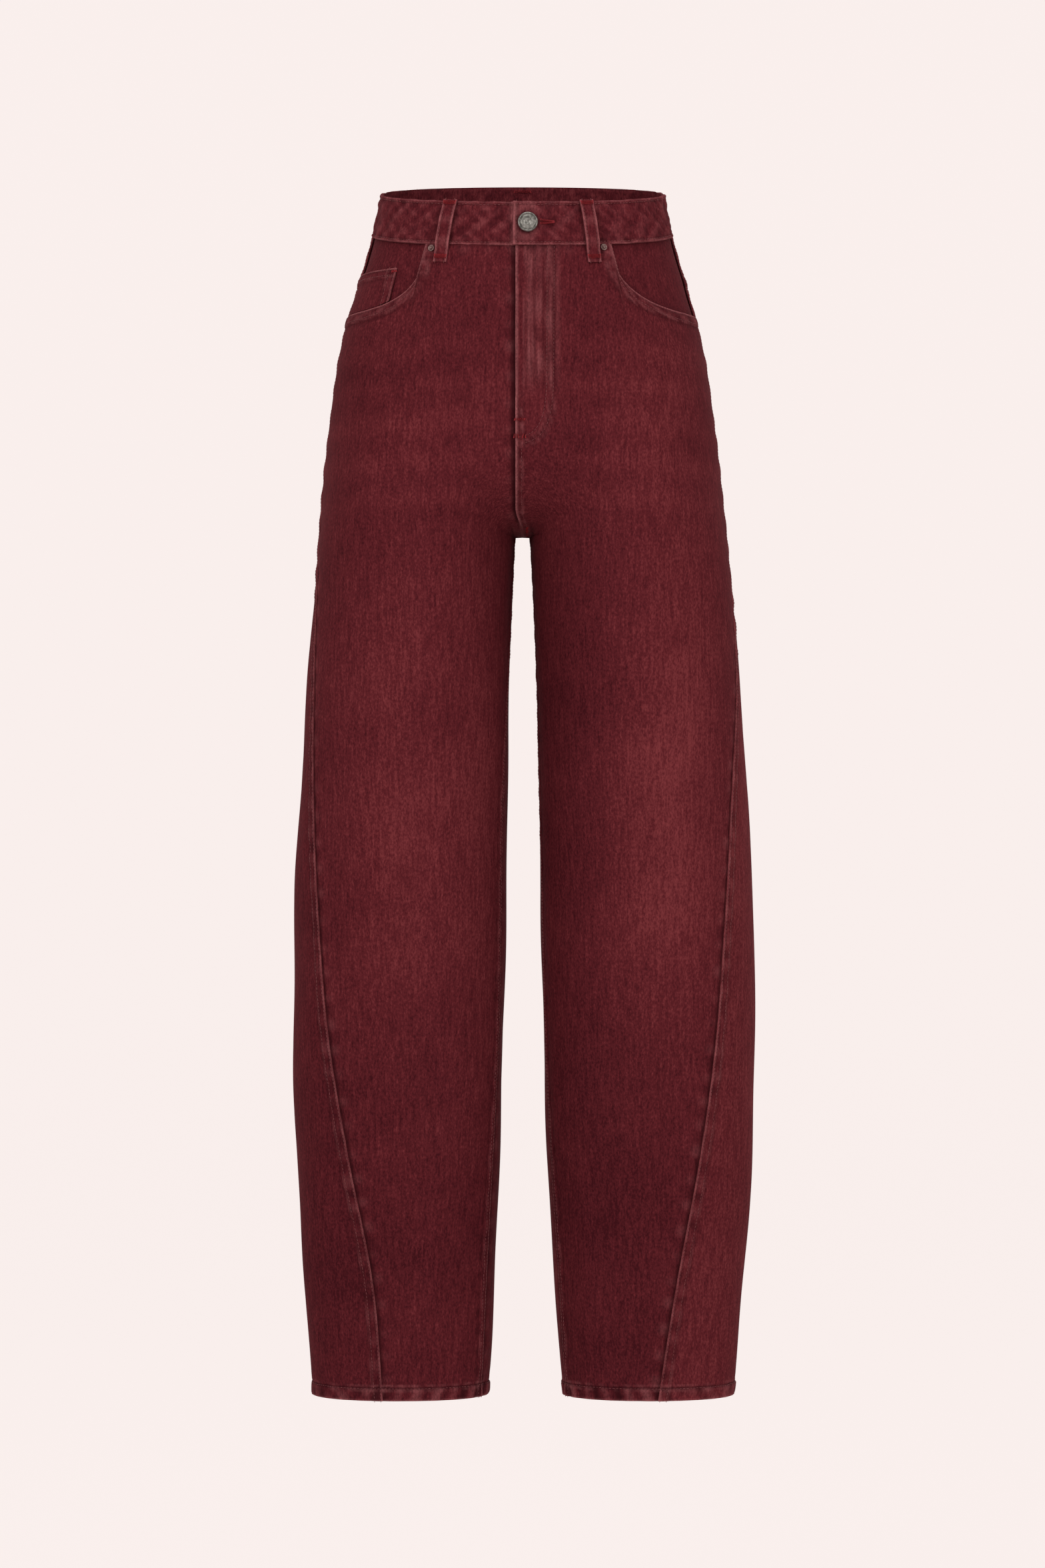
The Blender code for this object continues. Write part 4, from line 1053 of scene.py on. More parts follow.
def waistband():
    under_q = float(q_at("left", BAND_UNDERLAP, BAND_MIDDLE_Z, "front"))
    lap_q = float(q_at("right", BAND_LAP, BAND_MIDDLE_Z, "front"))
    half_round = np.linspace(0.0, 4.0, 231)
    right_q = np.concatenate([np.linspace(-under_q, 0.0, 21)[:-1], half_round])
    left_q = np.concatenate([half_round[::-1][1:], -lap_q * np.array([0.25, 0.5, 0.7, 0.85, 0.95, 1.0])])
    drops = WAISTBAND_HEIGHT * packed_shares(34, 0.7)
    point_grids = []
    normal_grids = []
    offsets = []
    for side, q_line in (("right", right_q), ("left", left_q)):
        q = np.broadcast_to(q_line, (len(drops), len(q_line)))
        z = np.array([rim_height(side, q_line, drop) for drop in drops])
        point = wrapped_point(side, q, z)
        point_grids.append(point)
        normal_grids.append(form_normal(side, q, z))
        from_middle = SIGN[side] * point[..., 0]
        on_front = q < 2
        if side == "right":
            dip = ease((BAND_DIP_START - from_middle) / BAND_DIP_LENGTH)
            offsets.append(WAISTBAND_FACE - BAND_DIP * dip * on_front)
        else:
            rise = ease((BAND_RISE_START - from_middle) / BAND_RISE_START)
            offsets.append(WAISTBAND_FACE + BAND_RISE * rise * on_front)
    points = np.concatenate(point_grids, axis=1)
    normals = np.concatenate(normal_grids, axis=1)
    face = np.concatenate(offsets, axis=1)
    points[-1, :, 2] -= BAND_OVERHANG
    points = points + normals * face[..., None]
    top_d, top_s = nearest(points, points[0])
    low_d, _ = nearest(points, points[-1])
    end_d, _ = nearest(points, points[:, -1])
    height = points[..., 2]
    wave = uneven(top_s, 0.013, 701)
    mottle = 0.8 * blur_field(top_s, height * 1.2, 0.022, 711) + 0.8 * blur_field(top_s, height, 0.009, 712)
    drag = blur_field(top_s + 1.2 * low_d, low_d * 0.3, 0.012, 713)
    edge = bump(top_d, 0.0012, 0.0014) + bump(low_d, 0.0010, 0.0012)
    stitch = bump(top_d, 0.0032, 0.0008) + bump(low_d, 0.0030, 0.0008)
    sides = bump(top_d, 0.004, 0.004) + bump(low_d, 0.004, 0.005)
    relief = 0.0004 * edge - 0.0004 * stitch + 0.0005 * wave * sides + 0.00070 * mottle + 0.00050 * drag
    relief -= 0.0006 * bump(top_d, 0, 0.0006) + 0.0005 * bump(low_d, 0, 0.0006)
    relief += 0.0006 * bump(end_d, 0.0014, 0.0014) - 0.0005 * bump(end_d, 0.0034, 0.0009)
    rub = 0.42 * bump(top_d, 0.0008, 0.0010) + 0.75 * bump(low_d, 0.0006, 0.0009)
    worn = rub * (0.75 + 0.25 * uneven(top_s, 0.02, 705)) + 0.62 * bump(end_d, 0.0012, 0.0013)
    worn += 0.13 * np.clip(mottle, 0, 1) + 0.10 * np.clip(drag, 0, 1)
    # Painted shade in the stitch grooves and beside the lapped end; the mottle and drag keep deep dye.
    shade_and_deep_dye = 0.30 * np.clip(-mottle, 0, 1) + 0.34 * stitch + 0.20 * np.clip(-drag, 0, 1)
    shade_and_deep_dye += 0.40 * bump(end_d, 0.0032, 0.0012)
    # Painted shadow beside each front belt loop.
    for _, side, _, top_x, bottom_x in LOOPS[:2]:
        middle = SIGN[side] * (top_x + (bottom_x - top_x) * top_d / WAISTBAND_HEIGHT)
        shade_and_deep_dye += 0.34 * (points[..., 1] < 0) * bump(np.abs(points[..., 0] - middle), 0.0072, 0.0026)
    around = np.hypot(points[..., 0] - BUTTON_X, top_d - HOLE_DEPTH)
    facing_out = (points[..., 1] < 0) & (np.arange(points.shape[1]) >= len(right_q))
    worn += 0.30 * facing_out * bump(around, 0.0135, 0.0040) * ease((0.014 - points[..., 0]) / 0.006)
    # Painted shadow round the button's edge, and painted shade in the buttonhole's eye.
    shade_and_deep_dye += facing_out * 0.55 * bump(around, BUTTON_RADIUS, 0.0018)
    eye = np.hypot((points[..., 0] - 0.0134) / 0.0016, (top_d - HOLE_DEPTH) / 0.0011)
    shade_and_deep_dye += facing_out * 1.2 * bump(eye, 0.0, 0.9)
    masks = {"fade_and_light": 0.42 + 0.12 * mottle, "worn": np.clip(worn, 0, 1), "shade_and_deep_dye": np.clip(shade_and_deep_dye, 0, 1)}
    return cloth_shell("waistband_cloth", "waistband", points, normals, relief, WAISTBAND_THICKNESS, masks,
                       True)


cloth["waistband_cloth"] = waistband()

# %% Belt loops
LOOP_WIDTH = 0.0112
LOOP_THICKNESS = 0.0018
LOOP_BELOW_BAND = 0.0160
LOOP_STAND_OFF = 0.0022
LOOP_ABOVE_RIM = {"front": 0.0005, "back": -0.0012}
LOOP_STEP_DOWN = 0.0060
LOOP_FADE = 0.42
NEAR_RIM_Z = -0.02
LOOP_DOWN = (0.0, 0.10, 0.24, 0.45, 0.66, 0.80, 0.90, 1.0)
LOOP_LIFT = (0.0, 0.25, 0.80, 1.0, 0.85, 0.35, 0.05, 0.0)


def belt_loop(name, side, face, top_x, bottom_x):
    down = np.linspace(0, 1, 58)[:, None]
    across = (packed_shares(17, 0.6) - 0.5)[None, :]
    length = WAISTBAND_HEIGHT + LOOP_BELOW_BAND
    lift = smooth((np.array(LOOP_DOWN), np.array(LOOP_LIFT)), down)
    x = top_x + (bottom_x - top_x) * down + across * LOOP_WIDTH
    z = NEAR_RIM_Z - down * length
    parts = {}
    for own in ("right", "left"):
        q = q_at(own, np.abs(x), z, face)
        height = rim_height(own, q, down * length - LOOP_ABOVE_RIM[face])
        parts[own] = (wrapped_point(own, q, height), form_normal(own, q, height))
    home = (x >= 0)[..., None]
    points = np.where(home, parts[side][0], parts[OTHER[side]][0])
    normals = np.where(home, parts[side][1], parts[OTHER[side]][1])
    on_band = ease((WAISTBAND_HEIGHT + LOOP_STEP_DOWN - down * length) / LOOP_STEP_DOWN)
    seat = LAYER_GAP + WAISTBAND_FACE * on_band + LOOP_STAND_OFF * lift + LOOP_THICKNESS
    points = points + normals * seat[..., None]
    edge = (0.5 - np.abs(across)) * LOOP_WIDTH
    s = down * length
    wave = uneven(s, 0.009, 730 + len(name))
    relief = 0.0003 * bump(edge, 0.0006, 0.0010) - 0.0004 * bump(edge, 0.0022, 0.0007) + 0.0002 * wave
    ends = bump(s, 0.0012, 0.0012) + bump(s, length - 0.0012, 0.0012)
    relief -= 0.0004 * bump(edge, 0.0, 0.0004) + 0.0004 * ends
    worn = bump(edge, 0.0006, 0.0009) * 0.75 + 0.20 * np.clip(wave, 0, 1)
    # Painted shade in the groove inside each edge and in the wave troughs.
    shade_and_deep_dye = 0.30 * bump(edge, 0.0024, 0.0008) + 0.20 * np.clip(-wave, 0, 1)
    flip = (side == "right") == (face == "front")
    masks = {"fade_and_light": LOOP_FADE, "worn": worn, "shade_and_deep_dye": shade_and_deep_dye}
    return cloth_shell(name + "_cloth", name, points, normals, relief, LOOP_THICKNESS, masks, flip)


for row in LOOPS:
    cloth[row[0]] = belt_loop(*row)

# %% [markdown]
# ## Denim, thread and metal
# Denim is a twill: its diagonal lines are about a millimetre apart, and uneven yarns give it short upright
# flecks. The fabric is dyed after weaving, so every place that rubs turns paler and pinker. One shader group
# makes the weave from the cloth map in metres and the flecks from the object's own coordinates, and another
# mixes the dye, the wear, and the painted light and shade from the three masks.

# %% Small helpers for shader nodes
def add_node(tree, kind, **settings):
    node = tree.nodes.new(kind)
    for key, value in settings.items():
        setattr(node, key, value)
    return node


def feed(tree, socket, value):
    """Link an output to the socket, or set the socket to a plain value."""
    if isinstance(value, bpy.types.NodeSocket):
        tree.links.new(value, socket)
    else:
        socket.default_value = value


def blend_colours(tree, amount, first, second):
    node = add_node(tree, "ShaderNodeMix", data_type="RGBA")
    for index, value in ((0, amount), (6, first), (7, second)):
        feed(tree, node.inputs[index], value)
    return node.outputs[2]


def computed(tree, operation, first, second=0.0, third=0.0):
    node = add_node(tree, "ShaderNodeMath", operation=operation)
    for socket, value in zip(node.inputs, (first, second, third)):
        feed(tree, socket, value)
    return node.outputs[0]


def noise(tree, place, scale, detail, squash=1.0):
    """Soft noise over a place, drawn out upwards where squash is under 1."""
    if squash != 1.0:
        stretch = add_node(tree, "ShaderNodeMapping")
        stretch.inputs["Scale"].default_value = (1.0, 1.0, squash)
        tree.links.new(place, stretch.inputs["Vector"])
        place = stretch.outputs[0]
    node = add_node(tree, "ShaderNodeTexNoise")
    node.inputs["Scale"].default_value = scale
    node.inputs["Detail"].default_value = detail
    tree.links.new(place, node.inputs["Vector"])
    return node.outputs["Fac"]


def raised(tree, shader, height, strength, distance):
    """Bump the shader's normal by a height."""
    node = add_node(tree, "ShaderNodeBump")
    node.inputs["Strength"].default_value = strength
    node.inputs["Distance"].default_value = distance
    tree.links.new(height, node.inputs["Height"])
    tree.links.new(node.outputs["Normal"], shader.inputs["Normal"])


def new_material(name):
    made = bpy.data.materials.new(name)
    made.use_nodes = True
    return made, made.node_tree, made.node_tree.nodes["Principled BSDF"]


def new_group(name, inputs, outputs):
    group = bpy.data.node_groups.new(name, "ShaderNodeTree")
    for label, kind, value in inputs:
        socket = group.interface.new_socket(label, in_out="INPUT", socket_type=kind)
        if value is not None:
            socket.default_value = value
    for label, kind in outputs:
        group.interface.new_socket(label, in_out="OUTPUT", socket_type=kind)
    return group, add_node(group, "NodeGroupInput"), add_node(group, "NodeGroupOutput")


# %% Weave and flecks
TWILL_PITCH = 0.0011
TWILL_SLOPE = 0.62


def weave_group():
    group, source, result = new_group(
        "twill_weave",
        (("Vector", "NodeSocketVector", None), ("Place", "NodeSocketVector", None),
         ("Pitch", "NodeSocketFloat", TWILL_PITCH)),
        (("Height", "NodeSocketFloat"), ("Fleck", "NodeSocketFloat"), ("Cloud", "NodeSocketFloat")),
    )
    links = group.links
    split = add_node(group, "ShaderNodeSeparateXYZ")
    links.new(source.outputs["Vector"], split.inputs[0])
    lean = computed(group, "MULTIPLY_ADD", split.outputs["Y"], TWILL_SLOPE, split.outputs["X"])
    turns = computed(group, "DIVIDE", lean, source.outputs["Pitch"])
    rib = computed(group, "SINE", computed(group, "MULTIPLY", turns, 2 * math.pi))
    place = source.outputs["Place"]
    fine = noise(group, place, 780.0, 2.0, squash=0.50)
    long_yarn = noise(group, place, 430.0, 1.0, squash=0.10)
    cloud = noise(group, place, 42.0, 4.0)
    fleck = computed(group, "MULTIPLY_ADD", fine, 0.66, computed(group, "MULTIPLY", long_yarn, 0.34))
    links.new(computed(group, "MULTIPLY_ADD", rib, 0.10, fleck), result.inputs["Height"])
    links.new(fleck, result.inputs["Fleck"])
    links.new(cloud, result.inputs["Cloud"])
    return group


# %% Dye, wear, and painted light and shade
DEEP_DYE = (0.05, 0.0053, 0.0089, 1)
MIDDLE_DYE = (0.112, 0.0147, 0.0199, 1)
LIGHT_DYE = (0.205, 0.0368, 0.0420, 1)
RUBBED = (0.38, 0.1242, 0.1313, 1)
# A deep dye colour that also serves as painted shade in grooves, creases, beside seams and under laps.
SHADE_AND_DEEP_DYE_COLOUR = (0.026, 0.0030, 0.0048, 1.0)


def dye_and_shade_group():
    group, source, result = new_group(
        "burgundy_dye_and_shade",
        (("Fade", "NodeSocketFloat", 0.4), ("Worn", "NodeSocketFloat", 0.0), ("Shade_And_Deep_Dye", "NodeSocketFloat", 0.0),
         ("Fleck", "NodeSocketFloat", 0.5), ("Cloud", "NodeSocketFloat", 0.5)),
        (("Color", "NodeSocketColor"), ("Nap", "NodeSocketFloat")),
    )
    links = group.links
    spread = computed(group, "MULTIPLY_ADD", source.outputs["Fleck"], 2.0, -1.00)
    patch = computed(group, "MULTIPLY_ADD", source.outputs["Cloud"], 0.16, -0.08)
    level = computed(group, "ADD", computed(group, "ADD", source.outputs["Fade"], spread), patch)
    ramp = add_node(group, "ShaderNodeValToRGB")
    ramp.color_ramp.elements[0].color = DEEP_DYE
    ramp.color_ramp.elements[1].color = LIGHT_DYE
    ramp.color_ramp.elements.new(0.5).color = MIDDLE_DYE
    links.new(level, ramp.inputs["Fac"])
    rubbed = computed(group, "MULTIPLY_ADD", source.outputs["Fleck"], 1.6, -0.12)
    rubbed = computed(group, "MULTIPLY", source.outputs["Worn"], rubbed)
    rubbed = computed(group, "MINIMUM", computed(group, "MAXIMUM", rubbed, 0.0), 1.0)
    # The shade mask mixes in painted shade and dye that stayed deep, both towards the same dark colour.
    shade_share = computed(group, "MULTIPLY", source.outputs["Shade_And_Deep_Dye"], 0.78)
    colour = blend_colours(group, shade_share, ramp.outputs["Color"], SHADE_AND_DEEP_DYE_COLOUR)
    colour = blend_colours(group, rubbed, colour, RUBBED)
    links.new(colour, result.inputs["Color"])
    nap = computed(group, "MULTIPLY_ADD", source.outputs["Fleck"], 0.20, 0.74)
    links.new(nap, result.inputs["Nap"])
    return group


WEAVE = weave_group()
DYE_AND_SHADE = dye_and_shade_group()


# %% The cloth material
def denim_material(name):
    made, tree, shader = new_material(name)
    uv = add_node(tree, "ShaderNodeUVMap", uv_map="cloth")
    weave = add_node(tree, "ShaderNodeGroup", node_tree=WEAVE)
    dye_and_shade = add_node(tree, "ShaderNodeGroup", node_tree=DYE_AND_SHADE)
    tree.links.new(uv.outputs[0], weave.inputs["Vector"])
    place = add_node(tree, "ShaderNodeTexCoord")
    tree.links.new(place.outputs["Object"], weave.inputs["Place"])
    for key, socket in (("fade_and_light", "Fade"), ("worn", "Worn"), ("shade_and_deep_dye", "Shade_And_Deep_Dye")):
        mask = add_node(tree, "ShaderNodeAttribute", attribute_name=key)
        tree.links.new(mask.outputs["Fac"], dye_and_shade.inputs[socket])
    tree.links.new(weave.outputs["Fleck"], dye_and_shade.inputs["Fleck"])
    tree.links.new(weave.outputs["Cloud"], dye_and_shade.inputs["Cloud"])
    tree.links.new(dye_and_shade.outputs["Color"], shader.inputs["Base Color"])
    tree.links.new(dye_and_shade.outputs["Nap"], shader.inputs["Roughness"])
    raised(tree, shader, weave.outputs["Height"], 0.35, 0.0006)
    shader.inputs["Sheen Weight"].default_value = 0.05
    shader.inputs["Sheen Roughness"].default_value = 0.5
    shader.inputs["Sheen Tint"].default_value = (0.60, 0.10, 0.12, 1)
    shader.inputs["Specular IOR Level"].default_value = 0.05
    return made


DENIM_CLOTH = denim_material("burgundy_denim")
for piece in cloth.values():
    piece.data.materials.append(DENIM_CLOTH)


# %% Thread and metal materials
def plain_material(name, colour, second, scale, roughness, metallic, bump_distance):
    """Two colours mixed by soft noise on the object's own coordinates, with a slightly uneven surface."""
    made, tree, shader = new_material(name)
    place = add_node(tree, "ShaderNodeTexCoord")
    grain = noise(tree, place.outputs["Object"], scale, 4.0)
    spread = add_node(tree, "ShaderNodeMapRange")
    spread.inputs["From Min"].default_value = 0.35
    spread.inputs["From Max"].default_value = 0.65
    tree.links.new(grain, spread.inputs["Value"])
    mixed = blend_colours(tree, spread.outputs["Result"], colour, second)
    tree.links.new(mixed, shader.inputs["Base Color"])
    rough = computed(tree, "MULTIPLY_ADD", grain, 0.20, roughness - 0.10)
    tree.links.new(rough, shader.inputs["Roughness"])
    raised(tree, shader, grain, 0.5, bump_distance)
    shader.inputs["Metallic"].default_value = metallic
    return made


# Each finish: name, two colours, noise scale, roughness, metallic and bump distance.
THREAD, RED_THREAD, AGED_METAL, RIVET_METAL = (plain_material(*finish) for finish in (
    ("burgundy_thread", (0.130, 0.016, 0.020, 1), (0.235, 0.060, 0.062, 1), 260, 0.62, 0.0, 0.0001),
    ("red_thread", (0.460, 0.014, 0.024, 1), (0.300, 0.010, 0.016, 1), 700, 0.60, 0.0, 0.0001),
    ("aged_nickel", (0.34, 0.33, 0.30, 1), (0.12, 0.117, 0.105, 1), 420, 0.40, 0.9, 0.00022),
    ("aged_copper", (0.27, 0.165, 0.15, 1), (0.13, 0.075, 0.068, 1), 700, 0.46, 0.75, 0.00005),
))
print("materials:", len(bpy.data.materials))

# %% [markdown]
# ## Stitches
# A lockstitch is a row of short thread bars that dip into the cloth at both ends. Thousands of equal bars on
# a path are a job for Geometry Nodes: the tree walks along each seam line at the stitch length and sets one
# small bar at every step, turned along the line. Bartacks are dense zigzags, so the thread there is a tube.

# %% Lines beside an edge of a piece
THREAD_LIFT = 0.00012
NEAR_EDGE_COLUMNS = 48


def outer_face(name, lift):
    """The points of a piece's outer face, lifted off it a little."""
    held = PANEL[name]
    return held["points"] + held["normals"] * (held["relief"] + lift)[..., None]


def beside(name, edge, distance, start=0.0, end=1.0):
    """A line on the cloth's outer face at a fixed distance from one edge of the piece's grid."""
    face = outer_face(name, THREAD_LIFT)
    if edge in ("top", "bottom"):
        face = face.transpose(1, 0, 2)
    if edge in ("last", "bottom"):
        face = face[:, ::-1]
    last = len(face) - 1
    face = face[int(start * last):int(end * last) + 1, :NEAR_EDGE_COLUMNS]
    along = row_lengths(face)
    return np.array([
        [np.interp(distance, along[i], face[i, :, k]) for k in range(3)] for i in range(len(face))
    ])


def surface_point(name, x, z, lift=THREAD_LIFT):
    """The point of a front piece's outer face nearest to a place given by x and z."""
    side = "left" if x >= 0 else "right"
    held = PANEL[name]
    flat = held["points"].reshape(-1, 3)
    normals = held["normals"].reshape(-1, 3)
    relief = held["relief"].reshape(-1)
    on_form = form_point(side, q_at(side, abs(x), z, "front"), z)
    i = int(np.argmin(((flat - on_form) ** 2).sum(1)))
    return on_form + normals[i] * (relief[i] + lift + float(((flat[i] - on_form) * normals[i]).sum()))


def part_of(line, low, high):
    """The stretch of a line between two heights."""
    return line[(line[:, 2] >= low) & (line[:, 2] <= high)]


# %% All the stitch lines
SEAM_ROWS = (0.0016, 0.0072)
INSEAM_ROWS = (0.0016, 0.0054)
PATCH_ROWS = (0.0016, 0.0066)
PATCH_TOP_ROW = 0.0114
COIN_TOP_ROWS = (0.0014, 0.0062)
COIN_SIDE_ROWS = (0.0014, 0.0082)
BAND_TOP_ROW = 0.0032
BAND_LOW_ROW = 0.0030
BAND_STRETCHES = ((0.04, 0.25), (0.25, 0.5), (0.5, 0.75), (0.75, 1.0))
LOOP_ROW = 0.0022
FLY_FOOT = -0.226
LAP_END = -0.222
LAP_START = -0.053


def stitch_lines():
    front = []
    back = []
    for side in ("right", "left"):
        panel = "front_" + side
        corner = SCOOP_CORNER / (PANEL[panel]["points"].shape[1] - 1)
        for d in SEAM_ROWS:
            front.append(beside(panel, "top", d, start=corner))
            back.append(beside("back_" + side, "first", d))
            back.append(beside("yoke_" + side, "bottom", d))
            back.append(beside("yoke_" + side, "first", d))
        for d in INSEAM_ROWS:
            front.append(part_of(beside(panel, "first", d), HEM, CROTCH - FORK_LIFT))
        front.append(beside(panel, "bottom", HEM_STITCH))
        back.append(beside("back_" + side, "bottom", HEM_STITCH))
        back.append(beside("patch_pocket_" + side, "top", PATCH_TOP_ROW))
        for edge in ("first", "last", "bottom"):
            back += [beside("patch_pocket_" + side, edge, d) for d in PATCH_ROWS]
    for d in SEAM_ROWS:
        back.append(part_of(beside("back_left", "last", d), CROTCH + FORK_LIFT, 0.0))
        back.append(beside("yoke_left", "last", d))
    front += [part_of(beside("front_left", "first", d), CROTCH + FORK_LIFT, FLY_FOOT) for d in INSEAM_ROWS]
    front.append(part_of(beside("front_left", "first", INSEAM_ROWS[0]), LAP_END, LAP_START))
    for top, first in zip(COIN_TOP_ROWS, COIN_SIDE_ROWS):
        front.append(beside("coin_pocket_cloth", "top", top))
        front.append(beside("coin_pocket_cloth", "first", first))
    for edge, d in (("top", BAND_TOP_ROW), ("bottom", BAND_LOW_ROW)):
        for stretch in BAND_STRETCHES:
            lines = front if stretch in (BAND_STRETCHES[0], BAND_STRETCHES[-1]) else back
            lines.append(beside("waistband_cloth", edge, d, *stretch))
    front.append(beside("waistband_cloth", "last", BAND_LOW_ROW))
    for name, _, face, _, _ in LOOPS:
        lines = front if face == "front" else back
        lines += [beside(name + "_cloth", edge, LOOP_ROW) for edge in ("first", "last")]
    return front, back


FLY_ROW_GAP = 0.0058
FLY_POINTS = 150
FLY_ENDS_X = -0.004


def fly_rows():
    """Two rows of stitches beside the fly, the inner one lifted where they curve to its foot."""
    x, z = np.array(FLY_CURVE).T
    place = np.linspace(0, 1, len(z))
    rows = []
    for inset in (0.0, FLY_ROW_GAP):
        line = []
        for t in np.linspace(0, 1, FLY_POINTS):
            cx = float(smooth((place, x), np.array(t))) - inset
            cz = float(smooth((place, z), np.array(t))) + inset * max(0.0, (t - 0.45)) * 1.5
            if cx > FLY_ENDS_X:
                line.append(surface_point("front_left", cx, cz))
        rows.append(np.array(line))
    return rows


front_lines, back_lines = stitch_lines()
front_lines += fly_rows()
print("stitch lines:", len(front_lines), len(back_lines))


# %% Turn lines into a curve object
def lines_object(name, lines):
    curve = bpy.data.curves.new(name, "CURVE")
    curve.dimensions = "3D"
    for line in lines:
        if len(line) < 2:
            continue
        spline = curve.splines.new("POLY")
        spline.points.add(len(line) - 1)
        spline.points.foreach_set("co", np.concatenate([line, np.ones((len(line), 1))], axis=1).ravel())
    return linked(name, curve)


# %% The shape of one stitch
STITCH_PITCH = 0.0031
STITCH_LENGTH = 0.0025
THREAD_RADIUS = 0.00025
THREAD_SIDES = 5


def ring_faces(rings, sides):
    """Faces between neighbouring rings of points, and a cap on the first and on the last ring."""
    faces = []
    for i in range(rings - 1):
        for k in range(sides):
            a = i * sides + k
            b = i * sides + (k + 1) % sides
            faces.append((a, a + sides, b + sides, b))
    last = (rings - 1) * sides
    return faces + [tuple(range(sides)), tuple(range(last + sides - 1, last - 1, -1))]


def stitch_bar():
    """A short thread bar along X that thins at its ends."""
    places = ((-0.5, 0.35), (-0.28, 0.95), (0.28, 0.95), (0.5, 0.35))
    verts = []
    for along, girth in places:
        for k in range(THREAD_SIDES):
            angle = 2 * math.pi * k / THREAD_SIDES
            verts.append((along * STITCH_LENGTH, girth * THREAD_RADIUS * math.cos(angle),
                          THREAD_RADIUS * (girth * math.sin(angle))))
    mesh = bpy.data.meshes.new("stitch_bar")
    mesh.from_pydata(verts, [], ring_faces(len(places), THREAD_SIDES))
    mesh.shade_smooth()
    return bpy.data.objects.new("stitch_bar", mesh)


STITCH_BAR = stitch_bar()


# %% The node tree that sets stitches on a path
def node_tree(name, inputs):
    tree = bpy.data.node_groups.new(name, "GeometryNodeTree")
    tree.interface.new_socket("Path", in_out="INPUT", socket_type="NodeSocketGeometry")
    for label, kind in inputs:
        tree.interface.new_socket(label, in_out="INPUT", socket_type=kind)
    tree.interface.new_socket("Geometry", in_out="OUTPUT", socket_type="NodeSocketGeometry")
    return tree, add_node(tree, "NodeGroupInput"), add_node(tree, "NodeGroupOutput")


def finish_tree(tree, grown_thread, source, result):
    """Real meshes in place of instances, in the thread's material."""
    real = add_node(tree, "GeometryNodeRealizeInstances")
    tree.links.new(grown_thread, real.inputs[0])
    paint = add_node(tree, "GeometryNodeSetMaterial")
    tree.links.new(real.outputs[0], paint.inputs["Geometry"])
    tree.links.new(source.outputs["Thread"], paint.inputs["Material"])
    tree.links.new(paint.outputs[0], result.inputs["Geometry"])


STITCH_SEED = 4
STITCH_UNEVENNESS = 0.14


def stitch_tree():
    tree, source, result = node_tree("stitches_on_path", (
        ("Stitch", "NodeSocketObject"), ("Pitch", "NodeSocketFloat"), ("Unevenness", "NodeSocketFloat"),
        ("Thread", "NodeSocketMaterial")))
    links = tree.links
    walk = add_node(tree, "GeometryNodeResampleCurve", mode="LENGTH")
    links.new(source.outputs["Path"], walk.inputs["Curve"])
    links.new(source.outputs["Pitch"], walk.inputs["Length"])
    shape = add_node(tree, "GeometryNodeObjectInfo")
    links.new(source.outputs["Stitch"], shape.inputs["Object"])
    tangent = add_node(tree, "GeometryNodeInputTangent")
    turn = add_node(tree, "FunctionNodeAlignRotationToVector", axis="X")
    links.new(tangent.outputs[0], turn.inputs["Vector"])
    dice = add_node(tree, "FunctionNodeRandomValue", data_type="FLOAT")
    dice.inputs["Seed"].default_value = STITCH_SEED
    links.new(computed(tree, "SUBTRACT", 1.0, source.outputs["Unevenness"]), dice.inputs[2])
    dice.inputs[3].default_value = 1.0
    bars = add_node(tree, "GeometryNodeInstanceOnPoints")
    links.new(walk.outputs["Curve"], bars.inputs["Points"])
    links.new(shape.outputs["Geometry"], bars.inputs["Instance"])
    links.new(turn.outputs["Rotation"], bars.inputs["Rotation"])
    links.new(dice.outputs[1], bars.inputs["Scale"])
    finish_tree(tree, bars.outputs[0], source, result)
    return tree


def tube_tree():
    tree, source, result = node_tree("thread_along_path", (
        ("Radius", "NodeSocketFloat"), ("Thread", "NodeSocketMaterial")))
    links = tree.links
    ring = add_node(tree, "GeometryNodeCurvePrimitiveCircle", mode="RADIUS")
    ring.inputs["Resolution"].default_value = THREAD_SIDES
    links.new(source.outputs["Radius"], ring.inputs["Radius"])
    sweep = add_node(tree, "GeometryNodeCurveToMesh")
    sweep.inputs["Fill Caps"].default_value = True
    links.new(source.outputs["Path"], sweep.inputs["Curve"])
    links.new(ring.outputs[0], sweep.inputs["Profile Curve"])
    finish_tree(tree, sweep.outputs[0], source, result)
    return tree


# %% Run a tree and keep its result as a plain mesh
def grown(name, lines, tree, values):
    path = lines_object(name + "_path", lines)
    modifier = path.modifiers.new("grow", "NODES")
    modifier.node_group = tree
    for item in tree.interface.items_tree:
        if item.in_out == "INPUT" and item.name in values:
            modifier[item.identifier] = values[item.name]
    ready = path.evaluated_get(bpy.context.evaluated_depsgraph_get())
    mesh = bpy.data.meshes.new_from_object(ready)
    mesh.name = name
    path.modifiers.remove(modifier)
    bpy.data.objects.remove(path)
    made = linked(name, mesh)
    mesh.shade_smooth()
    print(name, "faces:", len(mesh.polygons))
    return made


STITCHES = stitch_tree()
THREAD_TUBE = tube_tree()
stitch_values = {
    "Stitch": STITCH_BAR,
    "Pitch": STITCH_PITCH,
    "Unevenness": STITCH_UNEVENNESS,
    "Thread": THREAD,
}
sewn = [
    grown("topstitching_front", front_lines, STITCHES, stitch_values),
    grown("topstitching_back", back_lines, STITCHES, stitch_values),
]

# %% [markdown]
# ## Bartacks and the buttonhole
# Where a pocket, a loop or the fly ends, a bartack locks the seam: a bar of tight zigzag in a brighter red
# thread. The buttonhole is the same zigzag above and below a slit, wide at the button and narrow at its far
# end. Both are drawn as one thread and swept as a tube.

